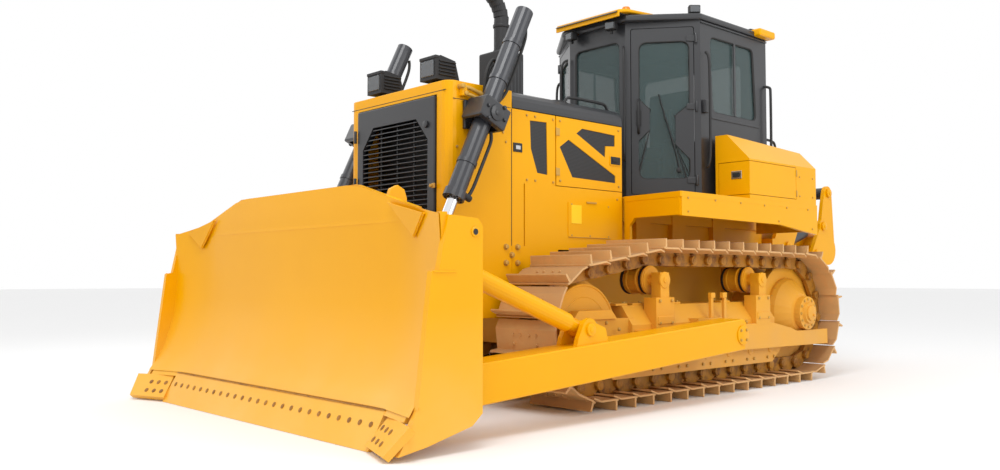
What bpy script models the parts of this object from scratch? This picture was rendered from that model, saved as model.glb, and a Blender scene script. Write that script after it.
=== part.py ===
"""Crawler bulldozer with a semi-U blade, a six-sided cab and a rear ripper.

Frame: metres, +Z up, +X to the machine's left side, -Y to the blade.
Y is first measured from the foremost grouser that stands on the ground
("chassis Y"); the root empty then moves everything so that the middle of
the machine's length is at Y = 0.  Z = 0 is the ground.
"""
import math

import bmesh
import bpy
from mathutils import Matrix, Vector

# ---------------------------------------------------------------- driving sizes
MACHINE = "crawler_bulldozer"
GAP = 0.0004                  # between pieces that touch
Y_MIDDLE = 1.154              # chassis Y of the middle of the machine's length

# undercarriage
TRACK_X = 1.0                 # half of the gauge
SHOE_WIDTH = 0.61
PITCH = 0.216
LINKS = 40
IDLER_AT, IDLER_PITCH_R = (-0.13, 0.570), 0.410
SPROCKET_AT, SPROCKET_PITCH_R = (2.815, 0.628), 0.468
CARRIER_YS, CARRIER_Z, CARRIER_PITCH_R = (0.645, 2.057), 0.940, 0.165
PLATE_IN, PLATE_OUT, GROUSER_TIP = 0.075, 0.092, 0.160   # outwards from the pin line
RAIL_IN, RAIL_OUT = -0.052, 0.083
GROUSER_WIDE = 0.020
RAIL_X, RAIL_WIDE = 0.075, 0.045          # rails each side of the chain's middle
ROLLER_R = 0.105
ROLLER_YS = [0.30 + 0.332 * n for n in range(7)]
SPROCKET_TEETH = 27

# body
HOOD_X = 0.63
GUARD_FRONT, GUARD_REAR = -1.03, -0.405
SEAM_Z, HOOD_Z, HOOD_TOP = 1.687, 2.25, 2.395
HOOD_REAR = 0.885
PANEL = 0.035
DECK_X, DECK_FRONT, DECK_REAR = 1.285, 0.825, 3.00
DECK_Z = 1.651
BOX_HINGE_Y = 2.62

# cab, six-sided in plan
CAB_FRONT_X, CAB_FRONT_Y = 0.345, 1.29
CAB_SIDE_X, CAB_SIDE_Y, CAB_REAR_Y = 0.875, 1.70, 2.80
CAB_FLOOR_Z, CAB_TOP_Z = 1.66, 3.285
CAB_WALL = 0.05

# blade, arms and lift cylinders
BLADE_PIVOT = (1.19, 0.50)
ARM_X0, ARM_X1 = 1.365, 1.60
ARM_DEPTH = 0.246
WING_LENGTH = 0.395             # ends inside the end plate
LIFT_X = 0.75
YOKE_AT = (-0.786, 2.13)
LIFT_EYE = (-1.505, 0.62)
BARREL_R, BARREL_BORE_R, ROD_R = 0.068, 0.047, 0.040

# ripper: a parallelogram of lower link, beam and upper links
LOWER_PIN, UPPER_PIN = (3.42, 0.93), (3.70, 1.615)
BEAM_LOWER_PIN, BEAM_AT, BEAM_R = (4.18, 1.22), (4.45, 1.267), 0.165
BEAM_UPPER_PIN = (BEAM_LOWER_PIN[0] + UPPER_PIN[0] - LOWER_PIN[0],
                  BEAM_LOWER_PIN[1] + UPPER_PIN[1] - LOWER_PIN[1])
RIPPER_PIN, RIPPER_EYE = (3.54, 1.29), (4.34, 1.53)
RIPPER_X = 0.51               # middle of the linkage on each side
CHEEK_X = (0.36, 0.62)        # inner faces' places of the plates either side of it
CHEEK = 0.04

YELLOW = (0.95, 0.50, 0.012, 1.0)
CHARCOAL = (0.035, 0.036, 0.040, 1.0)
STEEL = (0.55, 0.55, 0.56, 1.0)
DUSTY = (0.50, 0.33, 0.22, 1.0)
BLACK = (0.012, 0.012, 0.013, 1.0)
GLASS = (0.20, 0.30, 0.31, 0.4)
CYLINDER_GREY = (0.075, 0.078, 0.085, 1.0)
FINISHES = {                   # colour, roughness, metallic
    "yellow": (YELLOW, 0.38, 0.0), "charcoal": (CHARCOAL, 0.45, 0.0),
    "steel": (STEEL, 0.2, 1.0), "dusty": (DUSTY, 0.8, 0.3), "black": (BLACK, 0.6, 0.0),
    "glass": (GLASS, 0.05, 0.0), "grey": (CYLINDER_GREY, 0.35, 0.2),
}

PLANES = {                     # where a flat outline's own x, y and depth point
    "YZ": Matrix(((0, 0, 1, 0), (1, 0, 0, 0), (0, 1, 0, 0), (0, 0, 0, 1))),
    "XZ": Matrix(((1, 0, 0, 0), (0, 0, -1, 0), (0, 1, 0, 0), (0, 0, 0, 1))),
    "XY": Matrix.Identity(4),
}


# ---------------------------------------------------------------- small tools
def empty_scene():
    for obj in list(bpy.data.objects):
        bpy.data.objects.remove(obj, do_unlink=True)


def new_collection(name):
    made = bpy.data.collections.new(name)
    bpy.context.scene.collection.children.link(made)
    return made


def mesh_object(name, mesh):
    obj = bpy.data.objects.new(name, mesh)
    bpy.context.scene.collection.objects.link(obj)
    return obj


def evaluated_mesh(obj):
    bpy.context.view_layer.update()
    graph = bpy.context.evaluated_depsgraph_get()
    return bpy.data.meshes.new_from_object(obj.evaluated_get(graph))


def weld_and_face_out(mesh):
    work = bmesh.new()
    work.from_mesh(mesh)
    bmesh.ops.remove_doubles(work, verts=work.verts, dist=0.00002)
    bmesh.ops.recalc_face_normals(work, faces=work.faces)
    work.to_mesh(mesh)
    work.free()


def box(name, low, high, bevel=0.0, segments=2):
    """A box between two corners, with rounded edges when bevel is given."""
    bpy.ops.mesh.primitive_cube_add(size=1.0)
    obj = bpy.context.object
    obj.name = name
    low, high = Vector(low), Vector(high)
    size = high - low
    obj.data.transform(Matrix.Translation((low + high) / 2) @ Matrix.Diagonal((*size, 1.0)))
    if bevel:
        round_edges(obj, bevel, segments)
    return obj


def round_edges(obj, width, segments=2):
    rounding = obj.modifiers.new("rounding", "BEVEL")
    rounding.width = width
    rounding.segments = segments
    rounding.limit_method = "ANGLE"
    rounding.angle_limit = math.radians(40)


def rod(name, start, end, radius, sides=16, radius_end=None):
    """A round bar or cone between two points."""
    start, end = Vector(start), Vector(end)
    along = end - start
    bpy.ops.mesh.primitive_cone_add(vertices=sides, radius1=radius,
                                    radius2=radius if radius_end is None else radius_end,
                                    depth=along.length)
    obj = bpy.context.object
    obj.name = name
    turn = along.to_track_quat("Z", "Y").to_matrix().to_4x4()
    obj.data.transform(Matrix.Translation((start + end) / 2) @ turn)
    return obj


def outline(name, points, plane, depth_from, depth_to, holes=()):
    """A flat outline in one of the planes, given its thickness between two depths."""
    curve = bpy.data.curves.new(name, "CURVE")
    curve.dimensions = "2D"
    curve.fill_mode = "BOTH"
    curve.extrude = abs(depth_to - depth_from) / 2
    for ring in (points, *holes):
        spline = curve.splines.new("POLY")
        spline.points.add(len(ring) - 1)
        for point, (u, v) in zip(spline.points, ring):
            point.co = (u, v, 0.0, 1.0)
        spline.use_cyclic_u = True
    drawn = mesh_object(name, curve)
    solid = evaluated_mesh(drawn)
    bpy.data.objects.remove(drawn, do_unlink=True)
    middle = (depth_from + depth_to) / 2
    place = PLANES[plane] @ Matrix.Translation((0, 0, -middle if plane == "XZ" else middle))
    solid.transform(place)
    weld_and_face_out(solid)
    return mesh_object(name, solid)


def turned(name, profile, centre, sides=24):
    """A shape turned about an axis along X; profile is (x, radius) from one end to the other."""
    points = [(x, 0.0, r) for x, r in profile]
    mesh = bpy.data.meshes.new(name)
    mesh.from_pydata(points, [(n, n + 1) for n in range(len(points) - 1)], [])
    obj = mesh_object(name, mesh)
    screw = obj.modifiers.new("turn", "SCREW")
    screw.axis = "X"
    screw.steps = screw.render_steps = sides
    screw.use_merge_vertices = True
    screw.merge_threshold = 0.0001
    settle(obj)
    obj.data.transform(Matrix.Translation((0, centre[0], centre[1])))
    weld_and_face_out(obj.data)
    return obj


def settle(obj):
    """Turns an object's modifiers into its own mesh."""
    solid = evaluated_mesh(obj)
    obj.modifiers.clear()
    obj.data = solid
    return obj


def combine(obj, others, operation):
    for other in others:
        step = obj.modifiers.new(operation.lower(), "BOOLEAN")
        step.operation = operation
        step.object = other
    settle(obj)
    for other in others:
        bpy.data.objects.remove(other, do_unlink=True)
    return obj


def join(obj, *others):
    return combine(obj, others, "UNION")


def cut(obj, *others):
    return combine(obj, others, "DIFFERENCE")


def mirrored(obj, name):
    """The same piece on the machine's right side."""
    twin = obj.data.copy()
    twin.transform(Matrix.Diagonal((-1, 1, 1, 1)))
    twin.flip_normals()
    return mesh_object(name, twin)


def arc(centre, radius, start, end, steps):
    """Points along an arc, angles in degrees."""
    step = (end - start) / steps
    turns = [math.radians(start + step * n) for n in range(steps + 1)]
    return [(centre[0] + radius * math.cos(a), centre[1] + radius * math.sin(a)) for a in turns]


def rounded(low, high, radius, steps=4):
    """A rectangle with round corners."""
    (u0, v0), (u1, v1) = low, high
    r = radius
    return (arc((u1 - r, v1 - r), r, 0, 90, steps) + arc((u0 + r, v1 - r), r, 90, 180, steps)
            + arc((u0 + r, v0 + r), r, 180, 270, steps) + arc((u1 - r, v0 + r), r, 270, 360, steps))


def along(start, end, distance):
    """The point a distance from start towards end, in the YZ plane."""
    reach = math.dist(start, end)
    return tuple(a + (b - a) * distance / reach for a, b in zip(start, end))


NODES = []


def node(obj, name, finish):
    """Names a finished piece and gives it a material of its own."""
    settle(obj)
    obj.name = name
    obj.data.name = name
    colour, roughness, metallic = FINISHES[finish]
    paint = bpy.data.materials.new(name)
    paint.use_nodes = True
    shader = paint.node_tree.nodes["Principled BSDF"]
    shader.inputs["Base Color"].default_value = colour
    shader.inputs["Roughness"].default_value = roughness
    shader.inputs["Metallic"].default_value = metallic
    obj.data.materials.clear()
    obj.data.materials.append(paint)
    NODES.append(obj)
    return obj


def both_sides(obj, name, finish):
    """A left piece and its mirror image, as two nodes."""
    settle(obj)
    twin = mirrored(obj, name + "_right")
    node(obj, name + "_left", finish)
    node(twin, name + "_right", finish)


# ---------------------------------------------------------------- tracks
def pin_line(count, first):
    """Points and outward normals at equal steps round the belt of pitch circles.

    The count starts the distance first past the idler's lowest point.
    """
    wheels = [(IDLER_AT, IDLER_PITCH_R)]
    wheels += [((y, CARRIER_Z), CARRIER_PITCH_R) for y in CARRIER_YS]
    wheels += [(SPROCKET_AT, SPROCKET_PITCH_R)]
    pieces = []
    for n, (here, r0) in enumerate(wheels):
        there, r1 = wheels[(n + 1) % len(wheels)]
        heading = math.atan2(there[1] - here[1], there[0] - here[0])
        lean = math.acos((r0 - r1) / math.dist(here, there))
        pieces.append((here, r0, heading + lean, there, r1))
    path = []                       # (length, function of distance) stretches, clockwise
    for n, (here, radius, normal, there, next_radius) in enumerate(pieces):
        arriving = pieces[n - 1][2]
        turn = (arriving - normal) % (2 * math.pi)
        path.append(("arc", here, radius, arriving, turn * radius))
        start = Vector(here) + radius * Vector((math.cos(normal), math.sin(normal)))
        end = Vector(there) + next_radius * Vector((math.cos(normal), math.sin(normal)))
        path.append(("line", start, end, normal, (end - start).length))
    total = sum(stretch[-1] for stretch in path)
    samples = []
    for n in range(count):
        s = (total * n / count + first) % total
        for stretch in path:
            if s <= stretch[-1]:
                break
            s -= stretch[-1]
        if stretch[0] == "arc":
            angle = stretch[3] - s / stretch[2]
            out = Vector((math.cos(angle), math.sin(angle)))
            samples.append((Vector(stretch[1]) + stretch[2] * out, out))
        else:
            out = Vector((math.cos(stretch[3]), math.sin(stretch[3])))
            samples.append((stretch[1].lerp(stretch[2], s / stretch[-1]), out))
    return samples


def offset_ring(knots, reach):
    """The belt at a distance from its pin line, with only the points where it bends."""
    ring = [tuple(point + reach * out) for point, out in knots]
    count = len(ring)
    return [ring[n] for n in range(count)
            if abs((Vector(ring[n]) - Vector(ring[n - 1])).cross(
                Vector(ring[(n + 1) % count]) - Vector(ring[n]))) > 0.00002]


def belt_band(name, knots, inner, outer, x0, x1):
    """A loop of even thickness that follows the belt between two offsets."""
    curve = bpy.data.curves.new(name, "CURVE")
    curve.dimensions = "2D"
    curve.fill_mode = "NONE"
    curve.extrude = (x1 - x0) / 2
    ring = offset_ring(knots, (inner + outer) / 2)
    spline = curve.splines.new("POLY")
    spline.points.add(len(ring) - 1)
    for point, (u, v) in zip(spline.points, ring):
        point.co = (u, v, 0.0, 1.0)
    spline.use_cyclic_u = True
    drawn = mesh_object(name, curve)
    band = mesh_object(name, evaluated_mesh(drawn))
    bpy.data.objects.remove(drawn, do_unlink=True)
    weld_and_face_out(band.data)
    wall = band.modifiers.new("wall", "SOLIDIFY")
    wall.thickness = outer - inner
    wall.offset = 0.0
    wall.use_even_offset = True
    settle(band)
    band.data.transform(PLANES["YZ"] @ Matrix.Translation((0, 0, (x0 + x1) / 2)))
    weld_and_face_out(band.data)
    return band


def grouser_bars(knots, x0, x1):
    """One upright bar across each shoe, all in one mesh."""
    work = bmesh.new()
    foot = PLATE_IN + 0.004
    for point, out in knots:
        middle = point + out * (foot + GROUSER_TIP) / 2
        turn = Matrix.Rotation(math.atan2(out.y, out.x), 4, "X")
        size = Matrix.Diagonal((x1 - x0, GROUSER_TIP - foot, GROUSER_WIDE, 1.0))
        place = Matrix.Translation(((x0 + x1) / 2, *middle)) @ turn @ size
        bmesh.ops.create_cube(work, size=1.0, matrix=place)
    mesh = bpy.data.meshes.new("grousers")
    work.to_mesh(mesh)
    work.free()
    return mesh_object("grousers", mesh)


def build_tracks():
    knots = pin_line(LINKS, PITCH + IDLER_AT[0])
    low, high = TRACK_X - SHOE_WIDTH / 2, TRACK_X + SHOE_WIDTH / 2
    shoes = belt_band("shoes", knots, PLATE_IN, PLATE_OUT, low + 0.002, high - 0.002)
    rails = [belt_band("rail", knots, RAIL_IN, RAIL_OUT, middle - RAIL_WIDE / 2,
                       middle + RAIL_WIDE / 2) for middle in (TRACK_X - RAIL_X, TRACK_X + RAIL_X)]
    both_sides(join(shoes, grouser_bars(knots, low, high), *rails), "track", "dusty")


def build_idlers():
    tread, flange = IDLER_PITCH_R + RAIL_IN - 0.016, IDLER_PITCH_R - 0.034
    wide, slim, axle = 0.105, 0.040, 0.132
    profile = [(TRACK_X - axle, 0.0), (TRACK_X - axle, 0.055), (TRACK_X - wide, 0.055),
               (TRACK_X - wide, tread), (TRACK_X - slim, tread), (TRACK_X - slim, flange),
               (TRACK_X + slim, flange), (TRACK_X + slim, tread), (TRACK_X + wide, tread),
               (TRACK_X + wide, 0.055), (TRACK_X + axle, 0.055), (TRACK_X + axle, 0.0)]
    both_sides(turned("idler", profile, IDLER_AT), "idler", "yellow")


def build_final_drives():
    ring = 0.33
    tip = SPROCKET_PITCH_R - 0.016
    sprocket = rod("teeth", (TRACK_X - 0.038, *SPROCKET_AT), (TRACK_X + 0.038, *SPROCKET_AT),
                   tip, 2 * SPROCKET_TEETH)
    case = turned("case", [(0.62 + GAP, 0.0), (0.62 + GAP, 0.30), (0.90, 0.30), (0.92, ring),
                           (1.06, ring), (1.10, 0.31), (1.205, 0.185), (1.215, 0.155),
                           (1.275, 0.155), (1.277, 0.10), (1.30, 0.095), (1.30, 0.0)],
                  SPROCKET_AT)
    both_sides(join(case, sprocket), "final_drive", "yellow")


def build_track_frames():
    section = [(0.80, 0.37), (1.225, 0.37), (1.225, 0.60), (1.12, 0.745), (0.90, 0.745),
               (0.80, 0.66)]
    beam = outline("beam", section, "XZ", 0.28, 2.30)
    parts = []
    # fork that carries the idler, one arm each side of it
    for x0, x1 in ((0.815, 0.8675), (1.1325, 1.19)):
        parts.append(box("fork", (x0, -0.42, 0.48), (x1, 0.34, 0.655)))
    parts.append(outline("step", [(-0.36, 0.655), (-0.30, 0.72), (0.06, 0.72), (0.12, 0.655)],
                         "YZ", 1.135, 1.21))
    # outer rail past the final drive, its bracket, and the rollers' guard
    parts.append(outline("rear_rail", [(0.30, 0.352), (3.19, 0.33), (3.19, 0.468), (2.62, 0.468),
                                       (2.52, 0.50), (2.20, 0.56),
                                       (0.30, 0.56)], "YZ", 1.222, 1.268))
    parts.append(outline("guard", [(-0.02, 0.33), (0.10, 0.20), (2.32, 0.20), (2.46, 0.30),
                                   (2.46, 0.40), (-0.02, 0.40)], "YZ", 1.165, 1.185))
    parts.append(box("guard_roof", (1.11, 0.12, 0.385), (1.23, 2.43, 0.41)))
    parts.append(box("rail_tie", (1.15, 2.20, 0.395), (1.25, 2.44, 0.50)))
    for y in ROLLER_YS:
        z = 0.160 - RAIL_IN + ROLLER_R + 0.004
        parts.append(rod("roller", (TRACK_X - 0.13, y, z), (TRACK_X + 0.13, y, z), ROLLER_R, 12))
        parts.append(rod("shaft", (TRACK_X + 0.10, y, z), (TRACK_X + 0.175, y, z), 0.05, 8))
    for y in CARRIER_YS:
        roller_r = CARRIER_PITCH_R + RAIL_IN - 0.006
        parts.append(rod("carrier", (TRACK_X - 0.115, y, CARRIER_Z),
                         (TRACK_X + 0.125, y, CARRIER_Z), roller_r, 16))
        parts.append(rod("pin", (TRACK_X + 0.10, y, CARRIER_Z), (1.245, y, CARRIER_Z), 0.052, 10))
        parts.append(box("post", (1.15, y - 0.13, 0.55), (1.27, y + 0.10, 0.805)))
        parts.append(box("neck", (1.165, y - 0.055, 0.79), (1.255, y + 0.055, 1.0)))
    # trunnion block that carries the push arm's rear ball
    parts.append(box("trunnion_seat", (1.18, BLADE_PIVOT[0] - 0.17, 0.39),
                     (1.30, BLADE_PIVOT[0] + 0.17, 0.63)))
    both_sides(join(beam, *parts), "track_frame", "yellow")


# ---------------------------------------------------------------- body
def build_main_frame():
    belly = outline("belly", [(GUARD_REAR, 0.66), (-0.18, 0.44), (2.40, 0.44), (2.62, 0.50),
                              (3.20, 0.50), (3.20, 1.50), (0.95, 1.50), (0.90, 1.12),
                              (GUARD_REAR, 1.12)], "YZ", -0.56, 0.56)
    rear_case = box("rear_case", (-0.62, 2.46, 0.46), (0.62, 3.24, 1.16))
    pivot_bar = rod("pivot_bar", (-0.80 + GAP, 2.10, 0.52), (0.80 - GAP, 2.10, 0.52), 0.075)
    balance_bar = box("balance_bar", (-0.80 + GAP, 0.36, 0.50), (0.80 - GAP, 0.52, 0.64))
    frame = join(belly, rear_case, pivot_bar, balance_bar)
    brackets = []
    for side in (-1, 1):
        x0, x1 = sorted((side * 0.50, side * 0.61))
        for y in (1.10, 1.62, 2.26):
            brackets.append(box("rib", (x0, y, 1.10), (x1, y + 0.20, 1.56)))
    join(frame, box("cab_floor_frame", (-0.60, 0.93, 1.44), (0.60, 3.22, DECK_Z)), *brackets)
    node(frame, "main_frame", "yellow")
    node(box("engine", (-0.30, -0.32, 1.12 + GAP), (0.30, 0.80, 2.12), 0.04), "engine_block", "grey")


def build_nose():
    """The radiator guard is a deep frame, open at the front behind the grille door."""
    r = 0.075
    shell = outline("guard", arc((-HOOD_X + r, GUARD_FRONT + r), r, 270, 180, 4)
                    + [(-HOOD_X, GUARD_REAR - GAP), (HOOD_X, GUARD_REAR - GAP)]
                    + arc((HOOD_X - r, GUARD_FRONT + r), r, 0, -90, 4), "XY", 0.66, 2.378)
    round_edges(shell, 0.022, 2)
    settle(shell)
    cut(shell, box("bay", (-0.56, -0.985, 1.06), (0.56, 1.0, 2.30)),
        box("mouth", (-0.50, -1.2, 1.10), (0.50, -0.9, 2.285)))
    top_hole = box("lamp_seat", (-0.45, -0.93, 2.35), (0.45, -0.80, 2.5))
    cut(shell, top_hole)
    node(shell, "radiator_guard", "yellow")
    core = box("core", (-0.555, -0.80, 1.065), (0.555, -0.66, 2.29))
    node(core, "radiator_core", "black")

    low, high = (-0.492, 1.108), (0.492, 2.277)
    frame = outline("frame", rounded(low, high, 0.012, 2), "XZ", -1.052, -0.995,
                    holes=[[(-0.40, 1.19), (0.40, 1.19), (0.42, 1.98), (0.27, 2.13),
                            (-0.27, 2.13), (-0.42, 1.98)]])
    bars = []
    for n in range(10):
        z = 1.245 + 0.0885 * n
        half = 0.43 if z < 1.97 else 0.43 - (z - 1.97)
        bars.append(box("slat", (-half, -1.045, z - 0.012), (half, -1.015, z + 0.012)))
    node(join(frame, *bars), "grille_door", "charcoal")

    bar = box("lamp_bar", (-0.44, -0.915, 2.35 + GAP), (0.44, -0.815, 2.392))
    lamps = []
    for x in (-0.345, 0.345):
        housing = outline("housing", [(-0.985, 2.42), (-0.985, 2.575), (-0.94, 2.60),
                                      (-0.80, 2.575), (-0.755, 2.42)], "YZ", x - 0.105, x + 0.085)
        lamps += [housing, box("foot", (x - 0.06, -0.90, 2.38), (x + 0.06, -0.83, 2.43))]
    node(join(bar, *lamps), "headlamps", "charcoal")


def build_hood():
    inner, outer, top = HOOD_X - 0.03, HOOD_X + 0.004, HOOD_TOP
    section = ([(-outer, HOOD_Z + GAP)] + arc((-outer + 0.12, top - 0.12), 0.12, 180, 90, 5)
               + arc((outer - 0.12, top - 0.12), 0.12, 90, 0, 5) + [(outer, HOOD_Z + GAP),
               (inner, HOOD_Z + GAP)] + arc((inner - 0.11, top - 0.15), 0.11, 0, 90, 4)
               + arc((-inner + 0.11, top - 0.15), 0.11, 90, 180, 4) + [(-inner, HOOD_Z + GAP)])
    node(outline("cowl", section, "XZ", GUARD_REAR, HOOD_REAR), "hood_cowl", "charcoal")

    x0, x1 = HOOD_X - PANEL, HOOD_X
    low, high = SEAM_Z + 0.003, HOOD_Z - 0.006
    front = outline("panel", [(-0.29, low - 0.01), (0.066, low - 0.01), (0.066, high),
                              (-0.29, high)], "YZ", x0, x1)
    pocket = outline("pocket", [(-0.215, 2.175), (-0.03, 2.18), (-0.022, 1.765), (-0.135, 1.772),
                                (-0.205, 1.955)], "YZ", x1 - 0.008, x1 + 0.1)
    front = cut(front, pocket)

    door = outline("door", [(0.078, low), (HOOD_REAR, low), (HOOD_REAR, high), (0.078, high)],
                   "YZ", x0, x1)
    upper = outline("pocket", [(0.315, 2.13), (0.385, 2.178), (0.795, 2.165), (0.795, 2.07),
                               (0.675, 2.06), (0.668, 1.965)], "YZ", x1 - 0.008, x1 + 0.1)
    lower = outline("pocket", [(0.118, 2.0), (0.222, 2.07), (0.80, 1.82), (0.80, 1.758),
                               (0.265, 1.768)], "YZ", x1 - 0.008, x1 + 0.1)
    latch = outline("latch", rounded((0.725, 1.905), (0.865, 1.99), 0.012, 2), "YZ",
                    x1 - 0.004, x1 + 0.006)
    both_sides(join(cut(door, upper, lower), latch), "engine_door", "yellow")

    sheet = outline("sheet", [(-0.27, SEAM_Z - 0.003), (-0.27, 1.18), (HOOD_REAR, 1.18),
                              (HOOD_REAR, SEAM_Z - 0.003)], "YZ", x0, x1)
    flap = outline("flap", rounded((0.21, 1.285), (0.73, 1.57), 0.01, 2), "YZ", x1 - 0.004,
                   x1 + 0.006)
    nose = outline("nose", [(GUARD_REAR, 0.90), (GUARD_REAR, HOOD_Z - 0.006),
                            (-0.282, HOOD_Z - 0.006), (-0.282, 1.20), (-0.20, 1.20), (0.10, 1.20),
                            (0.10, 1.185), (0.02, 0.90)], "YZ", x0, x1)
    both_sides(join(sheet, nose, front, flap), "side_sheet", "yellow")

    pipe = rod("pipe", (0.07, 0.0, HOOD_TOP), (0.07, 0.0, 3.10), 0.062, 20)
    bends = []
    for n in range(5):
        here, there = (math.radians(12.0 * k) for k in (n, n + 1))
        bends.append(rod("bend", (0.07, -0.26 + 0.26 * math.cos(here), 3.09 + 0.26 * math.sin(here)),
                         (0.07, -0.26 + 0.27 * math.cos(there), 3.09 + 0.27 * math.sin(there)),
                         0.0615, 20))
    shield = box("shield", (-0.07, -0.13, HOOD_TOP + GAP), (0.21, 0.13, 2.83), 0.015)
    stack = join(shield, pipe_above(pipe), *bends)
    node(stack, "exhaust_stack", "charcoal")


def pipe_above(pipe):
    """Only the stretch of pipe that is above the hood's skin."""
    return cut(pipe, box("below", (-0.5, -0.5, 2.0), (0.5, 0.5, HOOD_TOP + 0.05)))


def build_decks():
    """Fenders beside the cab, each a deck with a skirt, and the boxes on them."""
    inner = HOOD_X + 0.006
    deck = outline("deck", [(inner, HOOD_REAR + 0.02), (DECK_X - 0.01, DECK_FRONT),
                            (DECK_X, DECK_FRONT + 0.01), (DECK_X, DECK_REAR), (0.625, DECK_REAR),
                            (0.625, HOOD_REAR + 0.06)], "XY", DECK_Z - 0.045, DECK_Z)
    skirt = outline("skirt", [(DECK_FRONT + 0.012, 1.455), (2.33, 1.440), (DECK_REAR, 1.368),
                              (DECK_REAR, DECK_Z - 0.01), (DECK_FRONT + 0.012, DECK_Z - 0.01)],
                    "YZ", DECK_X - 0.035, DECK_X - 0.001)
    front = outline("front", [(inner + 0.001, 1.20), (0.70, 1.20), (0.70, 1.40), (0.76, 1.462),
                              (DECK_X - 0.012, 1.462), (DECK_X - 0.012, DECK_Z - 0.01),
                              (inner + 0.001, DECK_Z - 0.01)], "XZ", 0.0, 0.03)
    lean = Matrix.Translation((inner, HOOD_REAR + 0.022, 0)) @ Matrix.Rotation(
        math.atan2(DECK_FRONT - HOOD_REAR - 0.02, DECK_X - inner), 4, "Z")
    front.data.transform(lean @ Matrix.Translation((-inner, 0, 0)))
    rear = box("rear", (0.64, DECK_REAR - 0.03, 1.40), (DECK_X - 0.01, DECK_REAR - 0.001, 1.62))
    both_sides(join(deck, skirt, front, rear), "fender", "yellow")

    # the box: chamfered along its outer top edge, falling a little to the rear
    x0, x1, y0, y1 = 0.935, DECK_X - 0.002, 1.83, 2.985
    body = outline("box", [(x0, DECK_Z + GAP), (x1, DECK_Z + GAP), (x1, 2.00), (1.055, 2.235),
                           (x0, 2.235)], "XZ", y0, y1)
    slope = box("slope", (0.8, 1.7, 0), (1.4, 3.4, 1.0))
    slope.data.transform(Matrix.Translation((0, y0, 2.238)) @ Matrix.Rotation(
        math.radians(-3.5), 4, "X") @ Matrix.Translation((0, -y0, 0)))
    cut(body, slope)
    right_box = mirrored(body, "side_box_right")
    low, high, wall = DECK_Z + 0.035, 1.985, 0.03
    cut(body, box("room", (x0 + wall, y0 - 0.2, low), (x1 + 0.2, BOX_HINGE_Y, high)))
    node(body, "side_box_left", "yellow")
    node(right_box, "side_box_right", "yellow")
    side_leg = box("side_leg", (x1 - wall, y0, low + 0.005), (x1, BOX_HINGE_Y - 0.006, high - 0.005))
    front_leg = box("front_leg", (x0 + wall + 0.005, y0, low + 0.005),
                    (x1 - wall / 2, y0 + wall, high - 0.005))
    node(join(side_leg, front_leg), "side_box_door", "yellow")

    tank = box("tank", (-0.88, 2.82, DECK_Z + GAP), (0.88, 3.34, 2.21), 0.05, 3)
    node(tank, "fuel_tank", "yellow")


# ---------------------------------------------------------------- cab
def cab_plan(inset=0.0):
    """The cab's six-sided plan, moved in by a wall's thickness when asked."""
    fx, fy, sx, sy, ry = CAB_FRONT_X, CAB_FRONT_Y, CAB_SIDE_X, CAB_SIDE_Y, CAB_REAR_Y
    if inset:
        fx, fy, sx, sy, ry = fx - inset * 0.55, fy + inset, sx - inset, sy + inset * 0.5, ry - inset
    return [(-fx, fy), (fx, fy), (sx, sy), (sx, ry), (-sx, ry), (-sx, sy)]


def door_frame():
    """Place of the left door's outer face: its origin is at the hinge side, x runs forwards."""
    start, end = Vector((CAB_SIDE_X, CAB_SIDE_Y, 0)), Vector((CAB_FRONT_X, CAB_FRONT_Y, 0))
    ahead = (end - start).normalized()
    up = Vector((0, 0, 1))
    out = ahead.cross(up)                # points forwards and to the left
    if out.x < 0:
        out = -out
    place = Matrix((ahead, up, out)).transposed().to_4x4()
    place.translation = start
    return place, (end - start).length


def in_door_frame(obj):
    """Takes an outline drawn in its own x, y and depth to the door's face."""
    place, _ = door_frame()
    obj.data.transform(place)
    weld_and_face_out(obj.data)
    return obj


DOOR_LOW, DOOR_HIGH = 1.715, 3.225


def door_window(grow):
    """The door's window: notched at the handle and at the lower hinge side."""
    _, wide = door_frame()
    front, back = wide - 0.115 + grow, 0.095 - grow
    low, high = DOOR_LOW + 0.13 - grow, DOOR_HIGH - 0.12 + grow
    r = 0.07
    return (arc((front - r, low + r), r, 270, 360, 3)
            + [(front, 2.20), (front - 0.10, 2.30), (front - 0.10, 2.48), (front, 2.58)]
            + arc((front - r, high - r), r, 0, 90, 3) + arc((back + r, high - r), r, 90, 180, 3)
            + [(back, 2.52), (back + 0.13, 2.42), (back + 0.13, 2.16), (back, 2.02)]
            + arc((back + r, low + r), r, 180, 270, 3))


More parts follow.
